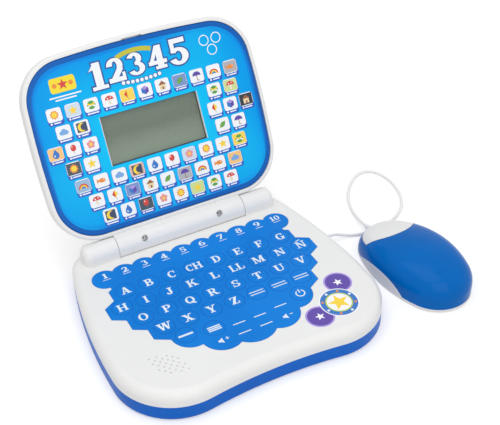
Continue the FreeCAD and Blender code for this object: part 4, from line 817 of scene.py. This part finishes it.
card_white = printed_ink("card_white_ink", srgb(246, 248, 250))
card_shadow_blue = printed_ink("card_shadow_ink", srgb(16, 92, 196))
for name, material, shift, level, sizes in (
    ("card_shadows", card_shadow_blue, (0.0001, -0.0007), 0.0, (0.012, 0.0126, 0.002, 0.00003)),
    ("picture_cards", card_white, (0.0, 0.0008), 0.00002, (0.0112, 0.0098, 0.0018, 0.00004)),
):
    tiles = spread(
        name, card_tree, [(x + shift[0], y + shift[1]) for x, y in card_centres], material, on_sheet(level),
        **dict(zip(CARD_SIZES, sizes)),
    )
    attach(tiles, "lid")


# Card pictures
# Simple motifs in bright press inks: suns, stars, drops, flowers, kites, fish and so on, drawn
# in millimetres about the card's middle. Every third card has a tinted ground.

RED, GREEN, PINK = srgb(214, 60, 50), srgb(84, 158, 70), srgb(236, 150, 150)
BROWN, GREY, SKY, NIGHT = srgb(150, 92, 56), srgb(120, 124, 130), srgb(120, 170, 224), srgb(44, 62, 96)
WHITE, CREAM, STALK = srgb(248, 249, 251), srgb(236, 214, 170), srgb(238, 226, 204)
MM = 0.001
PICTURE_LIFT, GROUND_WIDE, GROUND_TALL = 0.8, 10.6, 8.6
CAPTION_DROP, DOT_LEFT, DOT = 5.3, 3.6, 1.5
CAPTION_RIGHT, CAPTION_WIDE, CAPTION_TALL = 0.9, 5.2, 0.9
PICTURE_LEVEL, PRINT_STEP = 0.00008, 0.00001

petals = [(PINK, oval(x, y, 2.6, steps=14)) for x, y in arc(0, 0, 1.9, 1.9, 90, 378, 4)]
puffs = [
    (SKY, oval(x, y, width, steps=16))
    for x, y, width in ((-1.9, -0.4, 3.0), (0.1, 0.6, 3.8), (2.1, -0.3, 2.8))
]
leaf_side = [(3.4 * (2 * t / 12 - 1), 1.7 * math.sin(math.pi * t / 12)) for t in range(13)]
leaf_edge = leaf_side + [(x, -y) for x, y in leaf_side[-2:0:-1]]
leaf_blade = [(0.77 * x - 0.64 * y, 0.64 * x + 0.77 * y) for x, y in leaf_edge]
PICTURES = {
    "sun": [(ORANGE, star(0, 0, 3.6, 10, 0.68)), (YELLOW, oval(0, 0, 4.2, steps=20))],
    "leaf": [(GREEN, leaf_blade), (LIME, [(-2.7, -2.0), (-2.4, -2.2), (2.3, 1.9), (2.2, 2.0)])],
    "balloon": [
        (GREY, bar(0, -2.4, 0.25, 2.6)), (RED, oval(0, 0.9, 4.2, 4.9, steps=20)),
        (WHITE, oval(-0.8, 1.9, 0.7, 1.3, 25, 10)),
    ],
    "cube": [
        (TEAL, [(0, 0.2), (-2.8, 1.7), (-2.8, -1.6), (0, -3.2)]),
        (PURPLE, [(0, 0.2), (0, -3.2), (2.8, -1.6), (2.8, 1.7)]),
        (LILAC, [(0, 0.2), (2.8, 1.7), (0, 3.2), (-2.8, 1.7)]),
    ],
    "moon": [
        (NIGHT, bar(0, 0, 7.8, 7.0)),
        (YELLOW, arc(0, 0, 3.2, 3.2, 50, 310, 20) + arc(1.5, 0, 2.5, 2.5, 280, 80, 10)),
    ],
    "mushroom": [
        (STALK, bar(0, -1.5, 1.9, 3.4)), (RED, arc(0, 0.2, 3.3, 2.9, 0, 180, 15)),
        (WHITE, oval(-1.2, 1.2, 1.1, steps=10)), (WHITE, oval(1.1, 1.7, 0.9, steps=10)),
    ],
    "fish": [
        (ORANGE, oval(0.5, 0, 5.4, 3.2, steps=20)), (ORANGE, [(-1.6, 0), (-3.6, 1.7), (-3.6, -1.7)]),
        (WHITE, oval(1.9, 0.4, 0.8, steps=10)),
    ],
    "star": [(YELLOW, star(0, -0.2, 3.7))],
    "umbrella": [
        (BROWN, bar(0, -1.4, 0.5, 3.6)), (BROWN, band_arc(0.6, -3.0, 0.4, 0.9, 180, 360, 8)),
        (PURPLE, arc(0, 0.1, 3.4, 3.1, 0, 180, 15)),
    ],
    "flower": petals + [(YELLOW, oval(0, 0, 2.2, steps=14))],
    "house": [
        (CREAM, bar(0, -1.3, 4.6, 3.6)), (BROWN, [(-3.2, 0.5), (3.2, 0.5), (0, 3.4)]),
        (BROWN, bar(0.2, -2.1, 1.2, 2.0)),
    ],
    "drop": [
        (TEAL, arc(0, -0.9, 2.5, 2.5, -210, 30, 16) + [(0, 3.6)]),
        (WHITE, oval(-0.9, -1.2, 0.8, 1.6, 20, 12)),
    ],
    "kite": [
        (RED, [(0, 3.5), (-2.3, 0.6), (0, -2.2), (2.3, 0.6)]),
        (YELLOW, [(0, 3.5), (0, -2.2), (2.3, 0.6)]),
        (GREY, [(-0.15, -2.2), (0.15, -2.2), (1.2, -3.6), (0.9, -3.7)]),
    ],
    "cloud": puffs + [(SKY, bar(0.1, -1.2, 4.6, 1.4))],
    "ball": [
        (GREEN, oval(0, 0, 6.2, steps=24)), (WHITE, band_arc(0, -3.6, 2.9, 4.0, 40, 140, 10)),
        (YELLOW, band_arc(0, 3.6, 2.9, 4.0, 220, 320, 10)),
    ],
    "rainbow": [
        (colour, band_arc(0, -2.0, radius, radius + 1.1, 0, 180, 14))
        for colour, radius in ((RED, 2.6), (YELLOW, 1.6), (TEAL, 0.6))
    ],
}
GROUND_INKS = (
    srgb(206, 222, 238), srgb(250, 216, 90), srgb(120, 148, 200), srgb(176, 178, 184), srgb(248, 196, 128),
    srgb(58, 78, 92), srgb(206, 222, 150), srgb(30, 46, 62), srgb(150, 186, 216), srgb(226, 176, 150),
)
motifs = list(PICTURES.values())
pictures = []
for index, (x, y) in enumerate(card_centres):
    middle, caption = y + PICTURE_LIFT * MM, y - CAPTION_DROP * MM
    if index % 3 == 1:
        ground = GROUND_INKS[index // 3 % len(GROUND_INKS)]
        pictures.append((ground, bar(x, middle, GROUND_WIDE * MM, GROUND_TALL * MM), 0))
    for layer, (colour, outline) in enumerate(motifs[(index * 7) % len(motifs)], start=1):
        pictures.append((colour, [(x + u * MM, y + (v + PICTURE_LIFT) * MM) for u, v in outline], layer))
    wide = CAPTION_WIDE + index % 3
    pictures.append((WHITE, oval(x - DOT_LEFT * MM, caption, DOT * MM, steps=12), 0))
    pictures.append((WHITE, bar(x + CAPTION_RIGHT * MM, caption, wide * MM, CAPTION_TALL * MM), 0))
card_pictures = print_piece("card_pictures", pictures, press_ink, on_sheet(PICTURE_LEVEL), PRINT_STEP)
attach(card_pictures, "lid")


# Heading of the print
# Large white numerals with a deep blue edge under an olive band, a row of beads, a yellow tab
# with a star, and a group of rings. A numeral has a middle, a height and a width factor.

HEADING = (
    ("1", -0.0322, 0.1248, 0.0188, 1.05), ("2", -0.0178, 0.1258, 0.0166, 0.98),
    ("3", -0.0016, 0.1264, 0.0158, 0.98), ("4", 0.0152, 0.127, 0.0166, 0.98),
    ("5", 0.0326, 0.1272, 0.0188, 1.0),
)
HEADING_BLUE, OLIVE = srgb(26, 82, 158), srgb(196, 190, 48)
TAB_X, TAB_Y, TAB_LEVEL, MARK_LEVEL = -0.0588, 0.1258, 0.00002, 0.0001
TAB_STAR, TAB_DOT, TAB_DOT_SHIFT = 0.0042, 0.0034, 0.0062
RING_MIDDLES, RING_BAND = ((0.0545, 0.1302), (0.0645, 0.1302), (0.0595, 0.1222)), (0.0034, 0.0041)
OLIVE_BAND = (-0.001, 0.098, 0.0371, 0.0404, 70, 112)
BEADS, BEAD_LEFT, BEAD_PITCH, BEAD_ROW, BEAD_SAG = 9, -0.0146, 0.0036, 0.1142, 0.00006
BEAD_EDGE, BEAD_FACE = 0.0037, 0.0028
heading_edge_ink = printed_ink("heading_edge_ink", HEADING_BLUE)
for name, reach, material, level in (
    ("heading_edge", 0.085, heading_edge_ink, 0.00005), ("heading_numerals", 0.025, card_white, 0.00012),
):
    piece = piece_from(lettering(HEADING, reach), name, material, on_sheet(level))
    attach(piece, "lid")

tab_yellow = printed_ink("tab_yellow_ink", srgb(248, 222, 40))
tab = spread(
    "heading_tab", card_tree, [(TAB_X, TAB_Y)], tab_yellow, on_sheet(TAB_LEVEL),
    Width=0.0195, Height=0.0108, Corner=0.0022, Thickness=0.00005,
)
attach(tab, "lid")
marks = [(RED, star(TAB_X, TAB_Y, TAB_STAR), 0)]
for x in (TAB_X - TAB_DOT_SHIFT, TAB_X + TAB_DOT_SHIFT):
    marks.append((ORANGE, oval(x, TAB_Y, TAB_DOT, steps=16), 0))
for shift, width in ((-0.0082, 0.024), (-0.0104, 0.016)):
    marks.append((WHITE, bar(TAB_X, TAB_Y + shift, width, 0.001), 0))
for x, y in RING_MIDDLES:
    marks.append((WHITE, band_arc(x, y, *RING_BAND, 0, 359.9, 28), 0))
marks.append((OLIVE, band_arc(*OLIVE_BAND), 0))
for bead in range(BEADS):
    x, y = BEAD_LEFT + BEAD_PITCH * bead, BEAD_ROW + BEAD_SAG * (bead - BEADS // 2) ** 2
    for layer, (ink, width) in enumerate(((HEADING_BLUE, BEAD_EDGE), (WHITE, BEAD_FACE))):
        marks.append((ink, oval(x, y, width, steps=16), layer))
heading_marks = print_piece("heading_marks", marks, press_ink, on_sheet(MARK_LEVEL), PRINT_STEP)
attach(heading_marks, "lid")


# Display
# A liquid-crystal cell behind a clear window, pressed by a rubber contact strip against its
# board. Switched off, it is an even grey-green with a black border, partly the cell's own dark
# edge and partly painted shade for the gap under the opening's walls. Thin white strips line
# the opening's sides.

OPENING_HALF, OPENING_LOW, OPENING_HIGH = 0.0392, 0.05875, 0.09565
OPENING_MIDDLE, OPENING_TALL = (OPENING_LOW + OPENING_HIGH) / 2, OPENING_HIGH - OPENING_LOW
LINER_LOW, LINER_HIGH, LINER_WALL = 0.00072, 0.00274, 0.0004
LINER_GAP, LINER_SHORT = 0.00002, 0.0002
CELL_FACE, BORDER_LAP, BORDER_SHOWS, BORDER_INK = -0.0008, 0.0012, 0.0006, 0.00004

crystal = mottled("crystal_grey_green", srgb(118, 132, 113), srgb(128, 141, 121), 0.5, 22.0)
dress(crystal, "display_glass")
window_clear, window_shader, add = new_material("window_clear_acrylic")
polish = two_values(add, noise(add, 60.0, 4.0), 0.02, 0.09)
feed(window_shader, Base_Color=srgb(236, 244, 238), Roughness=polish, Alpha=0.04, IOR=1.49)
dress(window_clear, "display_window")

liner_mesh = bmesh.new()
for side in (-1, 1):
    across = side * (OPENING_HALF - LINER_WALL / 2 - LINER_GAP)
    wall = bar(across, OPENING_MIDDLE, LINER_WALL, OPENING_TALL - LINER_SHORT)
    prism(liner_mesh, wall, (LINER_LOW + LINER_HIGH) / 2, LINER_HIGH - LINER_LOW)
display_liner = piece_from(liner_mesh, "display_liner", case_white, lid_place)
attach(display_liner, "lid")

border_mesh = bmesh.new()
border_width = BORDER_LAP + BORDER_SHOWS
for side in (-1, 1):
    across = side * (OPENING_HALF + (BORDER_LAP - BORDER_SHOWS) / 2)
    along = OPENING_MIDDLE + side * (OPENING_TALL + BORDER_LAP - BORDER_SHOWS) / 2
    upright = bar(across, OPENING_MIDDLE, border_width, OPENING_TALL + 2 * BORDER_LAP)
    level = bar(0, along, (OPENING_HALF - BORDER_SHOWS) * 2, border_width)
    for strip in (upright, level):
        prism(border_mesh, strip, CELL_FACE, BORDER_INK)
# The black border is partly the cell's own dark edge and partly painted shade, the shadow inside the opening.
border_black_and_shade = printed_ink("border_black_and_shade_ink", srgb(34, 44, 46))
display_border_and_shade = piece_from(border_mesh, "display_border_and_shade", border_black_and_shade, lid_place)
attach(display_border_and_shade, "lid")

foil = plated_metal("reflector_foil", srgb(204, 206, 204), 0.45, 700)
dress(foil, "display_reflector")
strip_rubber = moulded_plastic("strip_pink_rubber", srgb(196, 120, 120), 0.7)
dress(strip_rubber, "display_contact_strip")


# Mouse
# A small mouse: glossy blue cover, white underside and one wide white button, all ABS, on
# two smooth glides.

mouse_blue = moulded_plastic(
    "mouse_blue_abs", srgb(0, 101, 184), 0.16, grain=0.004, height=0.00001, shine=0.08
)
dress(mouse_blue, "mouse_cover")
dress(case_white, "mouse_base", "mouse_button")
glide_white = moulded_plastic("glide_white", srgb(206, 208, 210), 0.25)
dress(glide_white, "mouse_glides")


# Screws and hinge pins
# Zinc-plated pan-head screws with a cross recess hold the shells, the boards, the door and
# the hinge; plain steel pins carry the lid.

RECESS_REACH, RECESS_WAIST, RECESS_DEPTH = 0.0017, 0.00042, 0.00004
CASE_HEADS_MM, CASE_HEAD_UP_MM, DOOR_HEAD_MM = ((38, -70), (91, -10), (83, 49)), 7.0, (0, 4.2, 0.2)
LID_HEAD_X, LID_HEAD_ROWS, LID_HEAD_DEEP = 0.076, (0.036, 0.12), 0.0081
HINGE_HEAD_X, HINGE_HEAD_Y, HINGE_HEAD_UP = 0.031, 0.0015, 0.0046

zinc = plated_metal("zinc_plate", srgb(186, 188, 192), 0.3, 1900)
dress(
    zinc, "case_screws", "battery_door_screw", "main_board_screws", "lid_screws", "hinge_screws",
    "display_board_screws", "mouse_screw", "hinge_pin_left", "hinge_pin_right",
)

entry, add, close = geometry_tree("cross_recess", ("Reach", "Waist", "Depth"))
cross_line = add("CurveStar", Points=4, Inner_Radius=entry["Waist"], Outer_Radius=entry["Reach"])
cross_tree = close(slab(add, cross_line.outputs["Curve"], entry["Depth"]))
# The recesses are thin flat crosses on the heads; their dark zinc is painted shade for the hollow of the
# recess.
recess_painted_shade = plated_metal("recess_painted_shade_zinc", srgb(66, 68, 72), 0.5, 1900)
turned_over = Matrix.Rotation(math.pi, 4, "X")
case_heads = [(side * x, y, CASE_HEAD_UP_MM) for x, y in CASE_HEADS_MM for side in (-1, 1)]
under_heads = [(x * MM, -y * MM, -z * MM) for x, y, z in case_heads + [DOOR_HEAD_MM]]
lid_heads = [(side * LID_HEAD_X, -y, LID_HEAD_DEEP) for y in LID_HEAD_ROWS for side in (-1, 1)]
hinge_heads = [(side * HINGE_HEAD_X, HINGE_HEAD_Y, HINGE_HEAD_UP) for side in (-1, 1)]
mouse_heads = [(0.14805, 0.056345, -0.0034)]
for name, body, heads, place in (
    ("case_recesses", "base", under_heads, turned_over),
    ("lid_recesses", "lid", lid_heads, lid_place @ turned_over),
    ("hinge_recesses", "lid", hinge_heads, lid_place),
    ("mouse_recess", "mouse", mouse_heads, turned_over),
):
    recesses = spread(
        name, cross_tree, heads, recess_painted_shade, place,
        Reach=RECESS_REACH, Waist=RECESS_WAIST, Depth=RECESS_DEPTH,
    )
    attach(recesses, body)


# Mouse cord
# A thin white vinyl cord from the base's right side to the mouse's nose, with one loose loop
# on the desk. Each end leaves its housing through a tapered relief.

CORD_DIAMETER, CORD_LENGTH, CORD_SIDES = 0.0024, 0.234, 16
CORD_ROUTE_MM = (
    (104, 28.5, 6.5), (111.6, 28.5, 6.5), (119.2, 27.6, 3.2), (126.8, 25.8, 1.3), (134, 23.4, 1.3),
    (141, 22.8, 1.3), (150, 22.6, 1.3), (160, 24.2, 1.3), (169, 27.8, 1.3), (178.6, 34, 1.3),
    (185.8, 42, 1.3), (190.8, 52, 1.3), (193.6, 64, 1.3), (194, 76, 1.3), (191, 87.2, 1.3),
    (184.6, 93, 1.3), (175.6, 93.2, 1.3), (165.8, 86.8, 1.3), (156.2, 77.2, 1.3), (149.4, 66.8, 1.3),
    (145, 55.6, 1.3), (142.2, 45.2, 2.6), (139.434, 33.141, 5.6), (140.162, 25.576, 5.6),
)
route = [Vector(point) * MM for point in CORD_ROUTE_MM]
line = bpy.data.curves.new("cord_line", "CURVE")
line.dimensions = "3D"
spline = line.splines.new("NURBS")
spline.points.add(len(route) - 1)
for control, point in zip(spline.points, route):
    control.co = (*point, 1.0)
spline.order_u = 3
spline.use_endpoint_u = True
spline.resolution_u = 10
line_object = new_object("cord_line", line)
line_mesh = bpy.data.meshes.new_from_object(line_object.evaluated_get(bpy.context.evaluated_depsgraph_get()))
cord_path = [vertex.co.copy() for vertex in line_mesh.vertices]
bpy.data.objects.remove(line_object)

cord_mesh = bmesh.new()
rings = []
side = Vector((0, 0, 1))
turns = [2 * math.pi * step / CORD_SIDES for step in range(CORD_SIDES)]
for index, point in enumerate(cord_path):
    before = cord_path[max(index - 1, 0)]
    after = cord_path[min(index + 1, len(cord_path) - 1)]
    ahead = (after - before).normalized()
    side = (side - ahead * side.dot(ahead)).normalized()
    other = ahead.cross(side)
    rings.append([
        cord_mesh.verts.new(point + (side * math.cos(turn) + other * math.sin(turn)) * CORD_DIAMETER / 2)
        for turn in turns
    ])
for first, second in zip(rings, rings[1:]):
    for step in range(CORD_SIDES):
        after = (step + 1) % CORD_SIDES
        cord_mesh.faces.new((first[step], first[after], second[after], second[step])).smooth = True
cord_mesh.faces.new(rings[0][::-1])
cord_mesh.faces.new(rings[-1])
cord_vinyl = moulded_plastic("cord_white_vinyl", srgb(238, 238, 238), 0.45, tint=0.015)
mouse_cord_tube = piece_from(cord_mesh, "mouse_cord_tube", cord_vinyl, Matrix.Identity(4))
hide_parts("mouse_cord")
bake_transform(mouse_cord_tube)
dress(cord_vinyl, "cord_relief", "mouse_cord_relief")


# Studio
# A plain white desk, a soft overhead light and a soft front one, with the camera where the
# photograph was taken.

DESK_HALF, DESK_DROP, DESK_SHADE, DESK_GLOW = 4, 0.0001, 0.74, 0.36
PLAIN_WHITE, SKY_LIGHT, SKY_SEEN = (1, 1, 1, 1), 0.66, 1.0
LAMP_WIDTH = 1.1


def shows_background(add):
    """1 for a ray that shows the background: to the camera, in a gloss or through clear plastic."""
    rays = add("LightPath").outputs
    direct = math_node(add, "MAXIMUM", rays["Is Camera Ray"], rays["Is Glossy Ray"])
    return math_node(add, "MAXIMUM", direct, rays["Is Transmission Ray"])


desk_mesh = bpy.data.meshes.new("desk")
desk_corners = box(-DESK_HALF, -DESK_HALF, DESK_HALF, DESK_HALF)
desk_mesh.from_pydata([(x, y, 0) for x, y in desk_corners], [], [(0, 1, 2, 3)])
desk = new_object("desk", desk_mesh)
desk.location.z = -DESK_DROP
desk_white, desk_shader, add = new_material("desk_white")
desk_glow = math_node(add, "MULTIPLY", shows_background(add), DESK_GLOW)
feed(
    desk_shader, Base_Color=(DESK_SHADE, DESK_SHADE, DESK_SHADE, 1), Roughness=0.9, Specular_IOR_Level=0.0,
    Emission_Color=PLAIN_WHITE, Emission_Strength=desk_glow,
)
desk_mesh.materials.append(desk_white)

world = bpy.data.worlds.new("studio")
bpy.context.scene.world = world
world.use_nodes = True
sky_nodes = world.node_tree.nodes
add = node_adder(world.node_tree, "ShaderNode")
feed(sky_nodes["Background"], Color=PLAIN_WHITE, Strength=SKY_LIGHT)
sky_seen = add("Background", Color=PLAIN_WHITE, Strength=SKY_SEEN)
sky_choice = add("MixShader", Fac=shows_background(add))
for socket, sky in zip(list(sky_choice.inputs)[1:], (sky_nodes["Background"], sky_seen)):
    world.node_tree.links.new(sky.outputs["Background"], socket)
feed(sky_nodes["World Output"], Surface=sky_choice.outputs["Shader"])

for name, energy, location in (("overhead", 5.0, (-0.15, 0.05, 1.3)), ("front", 5.6, (-0.2, -1.13, 0.95))):
    lamp = bpy.data.lights.new(name, "AREA")
    lamp.energy = energy
    lamp.size = LAMP_WIDTH
    light = new_object(name, lamp)
    light.location = location
    light.rotation_euler = (-Vector(location)).to_track_quat("-Z", "Y").to_euler()

lens = bpy.data.cameras.new("camera")
lens.sensor_width = 36.0
lens.lens = 78.546
lens.clip_start = 0.05
camera = new_object("camera", lens)
camera.location = (-0.25494, -0.52632, 0.54189)
camera.rotation_euler = [math.radians(angle) for angle in (52.19994, 0.49758, -28.22961)]
bpy.context.scene.camera = camera
bpy.context.scene.view_settings.view_transform = "Standard"
